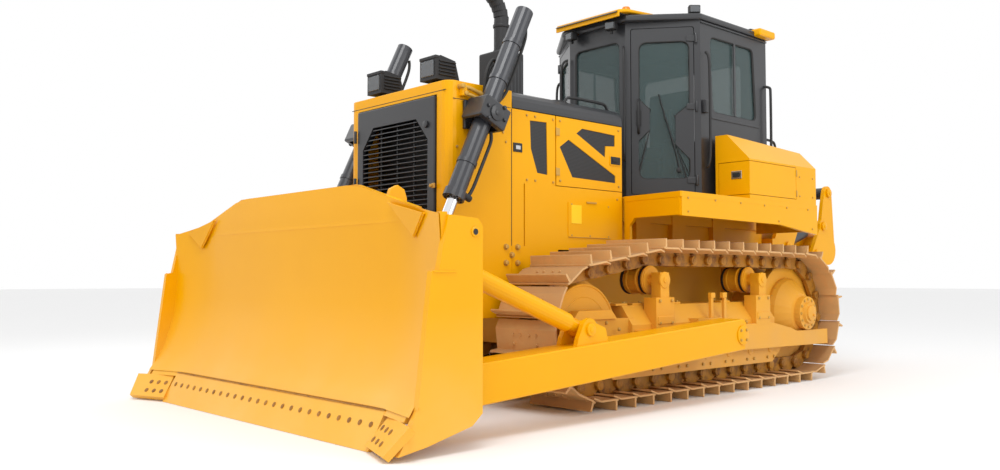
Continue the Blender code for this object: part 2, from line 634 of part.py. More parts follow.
def build_cab():
    shell = outline("shell", cab_plan(), "XY", DECK_Z + GAP, CAB_TOP_Z)
    cut(shell, outline("room", cab_plan(CAB_WALL), "XY", CAB_FLOOR_Z + 0.04, CAB_TOP_Z + 0.2))
    openings = [outline("windshield", rounded((-0.275, 2.05), (0.275, 3.13), 0.06), "XZ", 1.0, 1.5),
                outline("rear", rounded((-0.62, 2.36), (0.62, 3.10), 0.07), "XZ", 2.6, 3.0)]
    for side in (-1, 1):
        x0, x1 = sorted((side * 0.7, side * 1.0))
        openings.append(outline("side", side_window(0.0), "YZ", x0, x1))
    _, wide = door_frame()
    doorway = in_door_frame(outline("doorway", rounded((0.055, DOOR_LOW - 0.005),
                                                       (wide - 0.045, DOOR_HIGH + 0.005), 0.02, 2),
                                    "XY", -0.2, 0.1))
    openings += [doorway, mirrored(doorway, "doorway_right")]
    node(cut(shell, *openings), "cab_shell", "charcoal")

    # windows sit in the middle of the walls, a hair inside their openings
    g = 0.0006
    middle = CAB_WALL / 2
    y = CAB_FRONT_Y + middle
    node(outline("windshield", rounded((-0.275 + g, 2.05 + g), (0.275 - g, 3.13 - g), 0.06),
                 "XZ", y - 0.004, y + 0.004), "windshield", "glass")
    y = CAB_REAR_Y - middle
    node(outline("rear", rounded((-0.62 + g, 2.36 + g), (0.62 - g, 3.10 - g), 0.07), "XZ",
                 y - 0.004, y + 0.004), "rear_glass", "glass")
    x = CAB_SIDE_X - middle
    both_sides(outline("side", side_window(g), "YZ", x - 0.004, x + 0.004), "side_glass", "glass")

    panel = outline("door", rounded((0.061, DOOR_LOW), (wide - 0.051, DOOR_HIGH), 0.018, 2), "XY",
                    -CAB_WALL, -0.002, holes=[door_window(0.0)])
    both_sides(in_door_frame(panel), "cab_door", "charcoal")
    pane = outline("pane", door_window(-g), "XY", -middle - 0.004, -middle + 0.004)
    both_sides(in_door_frame(pane), "door_glass", "glass")

    roof = outline("roof", [(-0.40, 1.235), (0.40, 1.235), (0.90, 1.68), (0.90, 2.82), (-0.90, 2.82),
                            (-0.90, 1.68)], "XY", CAB_TOP_Z + GAP, 3.345)
    round_edges(roof, 0.018, 2)
    settle(roof)
    visor = outline("visor", [(1.12, 3.352), (1.15, 3.372), (1.62, 3.395), (1.72, 3.34),
                              (1.60, 3.33)], "YZ", -0.375, 0.375)
    node(join(roof, visor), "cab_roof", "charcoal")

    seat = box("cushion", (-0.26, 1.92, 2.10), (0.26, 2.42, 2.24), 0.04)
    back = box("back", (-0.25, 2.36, 2.16), (0.25, 2.50, 2.85), 0.04)
    stem = box("stem", (-0.20, 1.98, CAB_FLOOR_Z + 0.04 + GAP), (0.20, 2.38, 2.12))
    node(join(seat, back, stem), "operator_seat", "black")
    dash = outline("dash", [(1.36, 1.98), (1.36, 2.12), (1.42, 2.16), (1.58, 2.06), (1.58, 1.92)],
                   "YZ", -0.26, 0.26)
    column = box("column", (-0.12, 1.40, CAB_FLOOR_Z + 0.04 + GAP), (0.12, 1.52, 2.0))
    node(join(dash, column), "dashboard", "black")


def side_window(inset):
    g = inset
    r = 0.06
    low, high = 2.465 + g, 3.165 - g
    return (arc((1.89 + g + r, low + r), r, 180, 270, 3) + arc((2.615 - g - r, low + r), r, 270, 360, 3)
            + arc((2.575 - g - r, high - r), r, 0, 90, 3)
            + arc((1.85 + g + r, high - r), r, 90, 180, 3))


# ---------------------------------------------------------------- blade and its linkage
def blade_section():
    """Front face of the mouldboard from its bottom to its top, as (y, z)."""
    return [(-2.100, 0.190), (-2.015, 0.330), (-1.955, 0.480), (-1.905, 0.660), (-1.880, 0.860),
            (-1.878, 1.060), (-1.888, 1.260)]


def build_blade():
    curve = blade_section()
    sheet = 0.045
    back = [(y + sheet, z) for y, z in reversed(curve)]
    straight = 0.80
    # centre span, with its raised top
    centre = outline("centre", curve + [(-1.900, 1.400), (-1.855, 1.400)] + back, "YZ",
                     -straight, straight)
    board = outline("board", curve + [(-1.900, 1.305), (-1.855, 1.305)] + back, "YZ", -1.40, 1.40)
    top = outline("top", [(-1.36, 1.29), (1.36, 1.29), (1.40, 1.37), (0.773, 1.547),
                          (-0.773, 1.547), (-1.40, 1.37)], "XZ", -1.900, -1.858)
    parts = [board, top]
    for side in (-1, 1):
        wing = outline("wing", curve + [(-1.895, 1.32), (-1.850, 1.32)] + back, "YZ", 0.0, WING_LENGTH)
        fold = Matrix.Rotation(math.radians(-15), 4, "Z")
        wing.data.transform(Matrix.Translation((1.36, 0, 0)) @ Matrix.Translation((0, -1.88, 0))
                            @ fold @ Matrix.Translation((0, 1.88, 0)))
        plate = outline("end", [(-2.285, 0.03), (-2.16, 0.25), (-2.07, 0.99), (-2.02, 1.0),
                                (-1.955, 1.305), (-1.74, 1.292), (-1.705, 1.25), (-1.705, 0.20),
                                (-1.78, 0.137), (-2.10, 0.06)], "YZ", 1.725, 1.765)
        bit = outline("bit", [(1.375, 0.0), (1.746, 0.0), (1.80, 0.20), (1.405, 0.21)],
                      "XZ", -0.022, 0.022)
        tilt = Matrix.Rotation(math.radians(-40), 4, "X")
        bit.data.transform(Matrix.Translation((1.37, -2.208, 0.020))
                           @ Matrix.Rotation(math.radians(-20), 4, "Z") @ tilt
                           @ Matrix.Translation((-1.37, 0, 0)))
        for piece in (wing, plate, bit):
            if side < 0:
                parts.append(mirrored(piece, "mirror"))
                bpy.data.objects.remove(piece, do_unlink=True)
            else:
                parts.append(piece)
    edge = outline("edge", [(-2.222, 0.0), (-2.196, 0.0), (-2.075, 0.165), (-2.075, 0.21),
                            (-2.105, 0.215)], "YZ", -1.395, 1.395)
    parts += [edge,
              box("lower_box", (-1.38, -1.965, 0.12), (1.38, -1.84, 0.40)),
              box("upper_box", (-1.38, -1.86, 1.02), (1.38, -1.765, 1.24))]
    for x in (-1.10, -0.42, 0.0, 0.42, 1.10):
        parts.append(outline("rib", [(-1.935, 0.38), (-1.862, 0.66), (-1.838, 0.86),
                                     (-1.838, 1.05), (-1.79, 1.05), (-1.79, 0.38)], "YZ",
                             x - 0.02, x + 0.02))
    for x in (-LIFT_X, LIFT_X):
        for ear in (x - 0.075, x + 0.075):
            parts.append(outline("ear", [(-1.945, 0.42), (-1.50, 0.54)]
                                 + arc(LIFT_EYE, 0.085, -60, 75, 4)
                                 + [(-1.84, 0.90), (-1.87, 0.66)],
                                 "YZ", ear - 0.017, ear + 0.017))
    blade = join(centre, *parts)
    node(blade, "blade", "yellow")


def build_push_arms():
    py, pz = BLADE_PIVOT
    slope = (0.632 - 0.458) / (1.204 + 1.524)
    def top(y):
        return 0.458 + slope * (y + 1.524)
    front = -1.60
    arm = outline("arm", [(front, top(front) - ARM_DEPTH), (py + 0.04, top(py + 0.04) - ARM_DEPTH),
                          (py + 0.06, top(py) - 0.03), (py + 0.02, top(py)), (front, top(front))],
                  "YZ", ARM_X0, ARM_X1)
    round_edges(arm, 0.008, 1)
    settle(arm)
    foot = box("foot", (ARM_X0 + 0.015, -1.835, 0.14), (ARM_X1 - 0.015, -1.58, 0.425), 0.01)
    ball = rod("trunnion", (1.302, py, pz), (ARM_X0 + 0.02, py, pz), 0.085)
    left = join(arm, foot, ball)
    right = mirrored(left, "right")
    left = join(left, *clevis("brace"))
    twin = clevis("brace")
    flipped = [mirrored(piece, "flip") for piece in twin]
    for piece in twin:
        bpy.data.objects.remove(piece, do_unlink=True)
    join(right, *flipped)
    node(left, "push_arm_left", "yellow")
    node(right, "push_arm_right", "yellow")


BRACE_LOW = (-0.585, 0.615)      # pin on the arm
BRACE_HIGH = (-1.742, 1.045)     # on the blade's back
BRACE_X = 1.48


def clevis(name):
    """Two ears that stand on the arm and hold the strut's lower pin."""
    ears = []
    for x in (BRACE_X - 0.075, BRACE_X + 0.075):
        ears.append(outline(name, [(-0.72, 0.49), (-0.40, 0.51), (-0.43, 0.62)]
                            + arc(BRACE_LOW, 0.075, 30, 150, 4) + [(-0.70, 0.56)], "YZ",
                            x - 0.018, x + 0.018))
    return ears


def build_struts():
    """A plain brace on the left; a tilt cylinder takes its place on the right."""
    def point(distance):
        y, z = along(BRACE_LOW, BRACE_HIGH, distance)
        return (BRACE_X, y, z)
    reach = math.dist(BRACE_LOW, BRACE_HIGH)
    eye_x0, eye_x1 = BRACE_X - 0.0565, BRACE_X + 0.0565
    def eye(name):
        return rod(name, (eye_x0, *BRACE_LOW), (eye_x1, *BRACE_LOW), 0.058)
    tube = rod("tube", point(0.14), point(reach - 0.10), 0.062, 20)
    brace = join(tube, eye("eye"), rod("neck", point(0.0), point(0.16), 0.042),
                 rod("tip", point(reach - 0.12), point(reach), 0.045))
    node(brace, "brace_strut", "yellow")
    barrel = rod("barrel", point(0.12), point(0.80), 0.07, 20)
    tilt = join(barrel, eye("eye"), rod("neck", point(0.0), point(0.14), 0.045),
                rod("rod", point(0.78), point(reach), 0.035))
    right = mirrored(tilt, "tilt")
    bpy.data.objects.remove(tilt, do_unlink=True)
    node(right, "tilt_cylinder", "grey")


def build_lift():
    """Yokes on the radiator guard, with the two lift cylinders hung in them."""
    down = (Vector(LIFT_EYE) - Vector(YOKE_AT)).normalized()
    def point(distance):
        return (LIFT_X, YOKE_AT[0] + down.x * distance, YOKE_AT[1] + down.y * distance)
    tilt = Matrix.Translation((0, *YOKE_AT)) @ Matrix.Rotation(
        math.atan2(down.x, -down.y), 4, "X")
    ring = box("ring", (HOOD_X + 0.02, -0.125, -0.085), (LIFT_X + 0.125, 0.125, 0.085), 0.015)
    ring.data.transform(tilt)
    foot = box("foot", (HOOD_X + GAP, -0.90, 2.03), (HOOD_X + 0.03, -0.66, 2.24), 0.008)
    hole = box("hole", (LIFT_X - BARREL_R - 0.009, -0.100, -0.2),
               (LIFT_X + BARREL_R + 0.009, 0.100, 0.2))
    hole.data.transform(tilt)
    both_sides(cut(join(ring, foot), hole), "lift_yoke", "charcoal")

    low_end, high_end = 0.688, -0.925
    barrel = rod("barrel", point(high_end), point(low_end), BARREL_R, 20)
    gland = rod("gland", point(low_end - 0.06), point(low_end), BARREL_R + 0.012, 20)
    bore = rod("bore", point(high_end + 0.05), point(low_end + 0.1), BARREL_BORE_R, 24)
    both_sides(cut(join(barrel, gland), bore), "lift_barrel", "grey")

    reach = math.dist(YOKE_AT, LIFT_EYE)
    stem = rod("rod", point(reach - 1.63), point(reach - 0.03), ROD_R, 20)
    eye = rod("eye", (LIFT_X - 0.052, *LIFT_EYE), (LIFT_X + 0.052, *LIFT_EYE), 0.07, 24)
    both_sides(join(stem, eye), "lift_rod", "steel")


# ---------------------------------------------------------------- ripper
def link_plate(name, start, end, radius_start, radius_end, x0, x1):
    """A link with round ends, drawn round both pins."""
    heading = math.degrees(math.atan2(end[1] - start[1], end[0] - start[0]))
    points = (arc(start, radius_start, heading + 90, heading + 270, 8)
              + arc(end, radius_end, heading - 90, heading + 90, 8))
    return outline(name, points, "YZ", x0, x1)


def boss(name, at, radius, half):
    """A pin boss across each side's linkage."""
    return rod(name, (RIPPER_X - half, *at), (RIPPER_X + half, *at), radius)


def build_ripper():
    cheeks = []
    for inner in CHEEK_X:
        cheeks.append(outline("cheek", [(3.26, 0.78), (3.40, 0.80)]
                              + arc(LOWER_PIN, 0.11, -60, 60, 4)
                              + [(3.60, 1.20), (3.78, 1.50)] + arc(UPPER_PIN, 0.09, -30, 120, 5)
                              + [(3.42, 1.60), (3.26, 1.30)], "YZ", inner, inner + CHEEK))
    holes = [boss("hole", at, 0.037, 0.17) for at in (UPPER_PIN, RIPPER_PIN)]
    cut(cheeks[0], *holes)
    cheeks += [mirrored(cheek, "cheek") for cheek in cheeks]
    plate = box("plate", (-0.66, 3.2406, 0.62), (0.66, 3.30, 1.36))
    node(join(plate, *cheeks), "ripper_bracket", "yellow")

    arm = link_plate("arm", LOWER_PIN, BEAM_LOWER_PIN, 0.085, 0.085, RIPPER_X - 0.06,
                     RIPPER_X + 0.06)
    join(arm, boss("boss", LOWER_PIN, 0.074, 0.104), boss("boss", BEAM_LOWER_PIN, 0.072, 0.084))
    other = mirrored(arm, "arm")
    web = rod("web", (-0.48, 3.79, 1.07), (0.48, 3.79, 1.07), 0.065, 12)
    node(join(arm, other, web), "ripper_lower_link", "yellow")

    tube = rod("tube", (-0.64, *BEAM_AT), (0.64, *BEAM_AT), BEAM_R, 24)
    by, bz = BEAM_AT
    edge = (arc(BEAM_LOWER_PIN, 0.09, 130, 260, 4) + [(by - 0.02, bz - 0.15)]
            + arc(BEAM_AT, 0.15, -60, 20, 2) + arc(BEAM_UPPER_PIN, 0.08, 0, 160, 5)
            + [(by - 0.11, 1.78)] + arc(RIPPER_EYE, 0.08, 120, 200, 2))
    plates = []
    for x in (0.38, 0.60):
        plates.append(outline("cheek", edge, "YZ", x, x + CHEEK))
    plates += [mirrored(each, "cheek") for each in plates]
    pocket = box("pocket", (-0.14, by - 0.13, 1.02), (0.14, by + 0.21, 1.50))
    slot = box("slot", (-0.0455, by - 0.05, 0.9), (0.0455, by + 0.15, 1.7))
    node(cut(join(tube, *plates, pocket), slot), "ripper_beam", "yellow")

    y = by - 0.0445
    shank = outline("shank", [(y, 1.62), (y, 0.72), (y - 0.10, 0.50), (y - 0.27, 0.37),
                              (y - 0.34, 0.345), (y - 0.17, 0.355), (y + 0.04, 0.46),
                              (y + 0.18, 0.70), (y + 0.187, 1.62)], "YZ", -0.04, 0.04)
    node(shank, "ripper_shank", "charcoal")

    # two upper links that set the shank's angle, joined by their front shaft
    front, rear = UPPER_PIN, BEAM_UPPER_PIN
    link = rod("barrel", (RIPPER_X, *along(front, rear, 0.10)),
               (RIPPER_X, *along(front, rear, 0.50)), 0.072)
    join(link, rod("rod", (RIPPER_X, *front), (RIPPER_X, *rear), 0.036, 12),
         boss("eye", rear, 0.065, 0.084), boss("eye", front, 0.07, 0.104))
    other = mirrored(link, "link")
    shaft = rod("shaft", (-RIPPER_X, *front), (RIPPER_X, *front), 0.033, 12)
    node(join(shaft, link, other), "ripper_tilt_cylinders", "grey")


def build_ripper_cylinders():
    """The lift cylinders: their barrels share a shaft through the bracket."""
    reach = math.dist(RIPPER_PIN, RIPPER_EYE)

    def point(distance):
        return (RIPPER_X, *along(RIPPER_PIN, RIPPER_EYE, distance))
    barrel = rod("barrel", point(0.05), point(0.60), 0.074)
    cut(barrel, rod("bore", point(0.10), point(0.7), 0.046, 12))
    join(barrel, boss("eye", RIPPER_PIN, 0.06, 0.104))
    other = mirrored(barrel, "barrel")
    shaft = rod("shaft", (-RIPPER_X, *RIPPER_PIN), (RIPPER_X, *RIPPER_PIN), 0.033, 12)
    node(join(shaft, barrel, other), "ripper_lift_barrels", "grey")
    stem = rod("rod", point(0.13), point(reach - 0.02), 0.036, 12)
    both_sides(join(stem, boss("eye", RIPPER_EYE, 0.055, 0.084)), "ripper_lift_rod", "steel")


# ---------------------------------------------------------------- joints
PIVOTS = {
    "blade_pivot": ((0, *BLADE_PIVOT), ("blade", "push_arm", "brace_strut", "tilt_cylinder")),
    "lift_pivot": ((0, *YOKE_AT), ("lift_barrel", "lift_rod")),
    "lower_link_pivot": ((0, *LOWER_PIN), ("ripper_lower_link",)),
    "beam_pivot": ((0, *BEAM_LOWER_PIN), ("ripper_beam", "ripper_shank")),
    "upper_link_pivot": ((0, *UPPER_PIN), ("ripper_tilt_cylinders",)),
    "ripper_cylinder_pivot": ((0, *RIPPER_PIN), ("ripper_lift_barrels", "ripper_lift_rod")),
    "grille_hinge": ((-0.492, -1.056, 1.7), ("grille_door",)),
    "engine_door_hinge_left": ((HOOD_X + 0.004, 0.072, 1.97), ("engine_door_left",)),
    "engine_door_hinge_right": ((-HOOD_X - 0.004, 0.072, 1.97), ("engine_door_right",)),
    "box_door_hinge": ((DECK_X, BOX_HINGE_Y, 1.84), ("side_box_door",)),
    "cab_door_hinge_left": ((CAB_SIDE_X - 0.035, CAB_SIDE_Y - 0.035, 2.4),
                            ("cab_door_left", "door_glass_left")),
    "cab_door_hinge_right": ((-CAB_SIDE_X + 0.035, CAB_SIDE_Y - 0.035, 2.4),
                             ("cab_door_right", "door_glass_right")),
}


def hang_on_pivots(collection):
    """Parents each piece to the empty on its joint's axis, and those to the root."""
    root = bpy.data.objects.new("root", None)
    collection.objects.link(root)
    for obj in NODES:
        for other in list(obj.users_collection):
            other.objects.unlink(obj)
        collection.objects.link(obj)
        obj.parent = root
    for name, (place, starts) in PIVOTS.items():
        pivot = bpy.data.objects.new(name, None)
        collection.objects.link(pivot)
        pivot.parent = root
        pivot.location = place
        for obj in NODES:
            if obj.name.startswith(starts):
                obj.parent = pivot
                obj.matrix_parent_inverse = Matrix.Translation(-Vector(place))
    root.location = (0, -Y_MIDDLE, 0)


def main():
    empty_scene()
    collection = new_collection(MACHINE)
    build_tracks()
    build_idlers()
    build_final_drives()
    build_track_frames()
    build_main_frame()
    build_nose()
    build_hood()
    build_decks()
    build_cab()
    build_blade()
    build_push_arms()
    build_struts()
    build_lift()
    build_ripper()
    build_ripper_cylinders()
    hang_on_pivots(collection)
    bpy.context.view_layer.update()


main()
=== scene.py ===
# %% [markdown]
# # A crawler bulldozer
# The solids of the machine come in as a fixed frame, and this lesson dresses them: track
# shoes, bolts, grille, hoses, lamps, cab trim and paint. Positions are read from the frame
# wherever possible, so that a detail always sits on the part it belongs to.

import math

import bpy
from mathutils import Matrix, Vector


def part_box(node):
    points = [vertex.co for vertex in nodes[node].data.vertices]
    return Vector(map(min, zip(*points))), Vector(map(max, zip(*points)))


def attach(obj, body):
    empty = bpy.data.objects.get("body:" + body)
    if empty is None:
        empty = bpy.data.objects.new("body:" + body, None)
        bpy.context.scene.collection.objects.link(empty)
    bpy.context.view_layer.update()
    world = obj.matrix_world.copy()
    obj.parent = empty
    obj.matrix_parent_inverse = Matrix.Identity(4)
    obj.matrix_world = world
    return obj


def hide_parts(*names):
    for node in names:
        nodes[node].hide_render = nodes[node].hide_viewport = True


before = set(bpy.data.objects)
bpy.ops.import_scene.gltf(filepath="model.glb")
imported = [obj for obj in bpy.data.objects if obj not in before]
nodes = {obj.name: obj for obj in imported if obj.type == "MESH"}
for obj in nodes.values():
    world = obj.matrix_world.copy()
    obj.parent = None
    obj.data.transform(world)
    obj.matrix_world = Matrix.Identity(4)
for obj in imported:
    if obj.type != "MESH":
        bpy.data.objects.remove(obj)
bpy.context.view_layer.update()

# %% [markdown]
# Lengths along the machine are easiest to think of from the place where the first shoe
# touches the ground. The frame's origin is under the middle of the machine, so one helper
# turns such a length into a point of the frame.

# %% A point on the machine
FIRST_SHOE_Y = -1.154


def at(x, y, z):
    """A point, with y counted back from the first shoe on the ground."""
    return Vector((x, y + FIRST_SHOE_Y, z))


print("the nose is at", at(0, -1.05, 1.7))

# %% [markdown]
# An operator acts on everything that is selected, so every step starts from nothing.
# A finished piece keeps its place in its mesh, with its object at the origin, so each
# primitive has its place applied as soon as it is shaped.

# %% Selecting and applying
def select_only(*objects):
    if bpy.context.object and bpy.context.object.mode != "OBJECT":
        bpy.ops.object.mode_set(mode="OBJECT")
    bpy.ops.object.select_all(action="DESELECT")
    for obj in objects:
        obj.select_set(True)
    if objects:
        bpy.context.view_layer.objects.active = objects[0]


def apply_place(obj):
    select_only(obj)
    bpy.ops.object.transform_apply(location=True, rotation=True, scale=True)
    return obj


def bevel_all(obj, width, segments=2):
    """Rounds every edge, as a real plate or casting has no sharp one."""
    select_only(obj)
    bpy.ops.object.mode_set(mode="EDIT")
    bpy.ops.mesh.select_all(action="SELECT")
    bpy.ops.mesh.bevel(offset=width, segments=segments, affect="EDGES", clamp_overlap=True)
    bpy.ops.object.mode_set(mode="OBJECT")
    return obj


print("selected:", len(bpy.context.selected_objects))

# %% [markdown]
# Most fittings on such a machine are folded or burnt from plate. A block is a cube set to
# its size and place and then bevelled; a bar is a cylinder laid between two points with its
# rims bevelled; a cut plate is a flat outline that is extruded and bevelled.

# %% Blocks, bars and plates
def block(low, high, width=0.004, segments=2):
    select_only()
    middle = (Vector(low) + Vector(high)) / 2
    bpy.ops.mesh.primitive_cube_add(size=1.0, location=middle)
    obj = bpy.context.object
    obj.scale = Vector(high) - Vector(low)
    apply_place(obj)
    return bevel_all(obj, width, segments) if width else obj


def bar(start, end, radius, sides=16, width=0.0, radius_end=None):
    select_only()
    start, end = Vector(start), Vector(end)
    bpy.ops.mesh.primitive_cone_add(vertices=sides, radius1=radius, depth=(end - start).length,
                                    radius2=radius if radius_end is None else radius_end,
                                    location=(start + end) / 2)
    obj = bpy.context.object
    obj.rotation_mode = "QUATERNION"
    obj.rotation_quaternion = (end - start).to_track_quat("Z", "Y")
    apply_place(obj)
    if width:
        bpy.ops.object.mode_set(mode="EDIT")
        bpy.ops.mesh.select_mode(type="FACE")
        bpy.ops.mesh.select_all(action="DESELECT")
        bpy.ops.object.mode_set(mode="OBJECT")
        for face in obj.data.polygons:
            face.select = len(face.vertices) > 4
        bpy.ops.object.mode_set(mode="EDIT")
        bpy.ops.mesh.bevel(offset=width, segments=2, affect="EDGES")
        bpy.ops.object.mode_set(mode="OBJECT")
    bpy.ops.object.shade_smooth_by_angle(angle=math.radians(35))
    return obj


def plate(points, normal, thickness, width=0.003):
    """A flat plate from its corners, extruded along its normal."""
    select_only()
    bpy.ops.mesh.primitive_circle_add(vertices=len(points), fill_type="NGON")
    obj = bpy.context.object
    for vertex, point in zip(obj.data.vertices, points):
        vertex.co = point
    bpy.ops.object.mode_set(mode="EDIT")
    bpy.ops.mesh.select_all(action="SELECT")
    bpy.ops.mesh.extrude_region_move(
        TRANSFORM_OT_translate={"value": Vector(normal).normalized() * thickness})
    bpy.ops.mesh.select_all(action="SELECT")
    bpy.ops.mesh.normals_make_consistent(inside=False)
    if width:
        bpy.ops.mesh.bevel(offset=width, segments=2, affect="EDGES")
    bpy.ops.object.mode_set(mode="OBJECT")
    return apply_place(obj)


print("helpers ready")

# %% [markdown]
# What repeats is modelled once and copied, each copy with its own mesh. Copies are placed
# by a matrix and then joined, so a row of bolts is one piece. Both sides of the machine
# are alike, so a piece can also be mirrored across the middle.

# %% Copies, joins and mirrored twins
def copy_of(obj, place=Matrix.Identity(4)):
    twin = obj.copy()
    twin.data = obj.data.copy()
    bpy.context.scene.collection.objects.link(twin)
    twin.data.transform(place)
    return twin


def joined(*objects):
    select_only(*objects)
    if len(objects) > 1:
        bpy.ops.object.join()
    return bpy.context.object


def copies(obj, places):
    """The piece at each place, joined; the pattern itself is removed."""
    made = [copy_of(obj, place) for place in places]
    bpy.data.objects.remove(obj)
    return joined(*made)


def other_side(obj):
    """A twin across the machine's middle, with its faces turned out again."""
    twin = copy_of(obj, Matrix.Diagonal((-1, 1, 1, 1)))
    select_only(twin)
    bpy.ops.object.mode_set(mode="EDIT")
    bpy.ops.mesh.select_all(action="SELECT")
    bpy.ops.mesh.flip_normals()
    bpy.ops.object.mode_set(mode="OBJECT")
    return twin


def keep(obj, name, body, material, *instead_of):
    """Names a finished piece, paints it and lets it ride on its body."""
    obj.name = name
    obj.data.name = name
    obj.data.materials.clear()
    obj.data.materials.append(material)
    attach(obj, body)
    if instead_of:
        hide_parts(*instead_of)
    return obj


def keep_pair(obj, name, body, material):
    """The piece and its mirrored twin, as one piece."""
    return keep(joined(obj, other_side(obj)), name, body, material)


print("copies ready")

# %% [markdown]
# A bolt is a washer under a six-sided head with its top edge rounded. A hose or a bent
# rail is a round section that follows a smooth path; here a curve is given its thickness
# and then turned into a mesh.

# %% Bolts and bent tubes
def bolts(spots, size=0.018):
    """Hexagon bolts. Each spot is a point and the direction that the head faces."""
    washer = bar((0, 0, -0.002), (0, 0, size * 0.16), size * 0.98, 12)
    head = bar((0, 0, size * 0.1), (0, 0, size * 0.8), size * 0.8, 6, size * 0.12)
    bolt = joined(head, washer)
    places = [Matrix.Translation(point) @ Vector(out).to_track_quat("Z", "Y").to_matrix().to_4x4()
              for point, out in spots]
    return copies(bolt, places)


def bent_tube(points, radius, sides=3, smooth=True):
    curve = bpy.data.curves.new("path", "CURVE")
    curve.dimensions = "3D"
    curve.bevel_depth = radius
    curve.bevel_resolution = sides
    curve.use_fill_caps = True
    spline = curve.splines.new("NURBS" if smooth else "POLY")
    spline.points.add(len(points) - 1)
    for knot, point in zip(spline.points, points):
        knot.co = (*point, 1.0)
    if smooth:
        spline.use_endpoint_u = True
        spline.order_u = 3
        spline.resolution_u = 6
    obj = bpy.data.objects.new("tube", curve)
    bpy.context.scene.collection.objects.link(obj)
    select_only(obj)
    bpy.ops.object.convert(target="MESH")
    obj = bpy.context.object
    bpy.ops.object.shade_smooth()
    return obj


print("bolts and tubes ready")

# %% [markdown]
# ## Finishes
# Sprayed paint is never one flat colour: its tone drifts a little over a panel, it has a
# faint orange-peel bump, and a second colour can be mixed in low down: dust on the chassis
# paint, and on the mouldboard a paler painted reflection of the floor. The patterns read
# Object coordinates, so they are fixed to the metal and have the right size in metres.

# %% Painted metal
def paint(name, colour, tone, roughness=0.32, dust_and_reflection=None, dust_and_reflection_height=0.0, metallic=0.0, peel=0.02,
          coat=0.0, shine=0.5):
    material = bpy.data.materials.new(name)
    material.use_nodes = True
    tree = material.node_tree
    shader = tree.nodes["Principled BSDF"]
    shader.inputs["Metallic"].default_value = metallic
    shader.inputs["Coat Weight"].default_value = coat
    shader.inputs["Specular IOR Level"].default_value = shine
    where = tree.nodes.new("ShaderNodeTexCoord").outputs["Object"]

    drift = tree.nodes.new("ShaderNodeTexNoise")
    drift.inputs["Scale"].default_value = 1.7
    drift.inputs["Detail"].default_value = 4.0
    tree.links.new(where, drift.inputs["Vector"])
    blend = tree.nodes.new("ShaderNodeMix")
    blend.data_type = "RGBA"
    blend.inputs["A"].default_value = (*colour, 1.0)
    blend.inputs["B"].default_value = (*tone, 1.0)
    tree.links.new(drift.outputs["Fac"], blend.inputs["Factor"])
    surface = blend.outputs["Result"]

    grime = tree.nodes.new("ShaderNodeTexNoise")
    grime.inputs["Scale"].default_value = 14.0
    grime.inputs["Detail"].default_value = 8.0
    grime.inputs["Roughness"].default_value = 0.68
    tree.links.new(where, grime.inputs["Vector"])
    gloss = tree.nodes.new("ShaderNodeMapRange")
    gloss.inputs["To Min"].default_value = roughness - 0.01
    gloss.inputs["To Max"].default_value = roughness + 0.05
    tree.links.new(grime.outputs["Fac"], gloss.inputs["Value"])
    tree.links.new(gloss.outputs["Result"], shader.inputs["Roughness"])

    # Towards the bottom a second colour is mixed in: real dust on the chassis paint, and on the
    # mouldboard a paler painted reflection of the floor.
    if dust_and_reflection:
        split = tree.nodes.new("ShaderNodeSeparateXYZ")
        tree.links.new(where, split.inputs["Vector"])
        low = tree.nodes.new("ShaderNodeMapRange")
        low.inputs["From Min"].default_value = dust_and_reflection_height
        low.inputs["From Max"].default_value = 0.0
        tree.links.new(split.outputs["Z"], low.inputs["Value"])
        patch = tree.nodes.new("ShaderNodeMath")
        patch.operation = "MULTIPLY"
        tree.links.new(low.outputs["Result"], patch.inputs[0])
        tree.links.new(drift.outputs["Fac"], patch.inputs[1])
        over = tree.nodes.new("ShaderNodeMix")
        over.data_type = "RGBA"
        over.inputs["B"].default_value = (*dust_and_reflection, 1.0)
        tree.links.new(patch.outputs["Value"], over.inputs["Factor"])
        tree.links.new(surface, over.inputs["A"])
        surface = over.outputs["Result"]
    tree.links.new(surface, shader.inputs["Base Color"])

    skin = tree.nodes.new("ShaderNodeTexNoise")
    skin.inputs["Scale"].default_value = 160.0
    tree.links.new(where, skin.inputs["Vector"])
    bump = tree.nodes.new("ShaderNodeBump")
    bump.inputs["Strength"].default_value = peel
    bump.inputs["Distance"].default_value = 0.002
    tree.links.new(skin.outputs["Fac"], bump.inputs["Height"])
    tree.links.new(bump.outputs["Normal"], shader.inputs["Normal"])
    return material


yellow = paint("yellow_paint", (0.84, 0.395, 0.0), (0.78, 0.355, 0.0), 0.30, shine=0.2)
yellow_low = paint("dusty_yellow_paint", (0.82, 0.375, 0.0), (0.72, 0.32, 0.006), 0.42,
                   (0.62, 0.36, 0.14), 1.3, shine=0.2)
# On the mouldboard, the paler colour mixed into the lowest 0.8 m is a painted reflection of the pale
# floor, not dust.
mould_yellow = paint("mouldboard_paint", (0.84, 0.395, 0.0), (0.78, 0.355, 0.0), 0.24,
                     (0.88, 0.51, 0.12), 0.80, shine=0.25)
charcoal = paint("charcoal_paint", (0.020, 0.021, 0.024), (0.028, 0.029, 0.032), 0.36, coat=0.2)
cylinder_grey = paint("cylinder_grey_paint", (0.038, 0.040, 0.047), (0.028, 0.030, 0.036), 0.32,
                      coat=0.1)
black = paint("black_plastic", (0.010, 0.010, 0.011), (0.016, 0.016, 0.017), 0.55, peel=0.12)
rubber = paint("hose_rubber", (0.014, 0.014, 0.014), (0.022, 0.021, 0.020), 0.62, peel=0.2)
print("paints:", len(bpy.data.materials))

# %% [markdown]
# The shoes and links are rolled steel that was painted once. Dust and rust have settled on
# it in blotches and thickly on whatever faces up. Noise mixes the paint with the rust, and
# the surface's own upward direction then lays the dust on top.

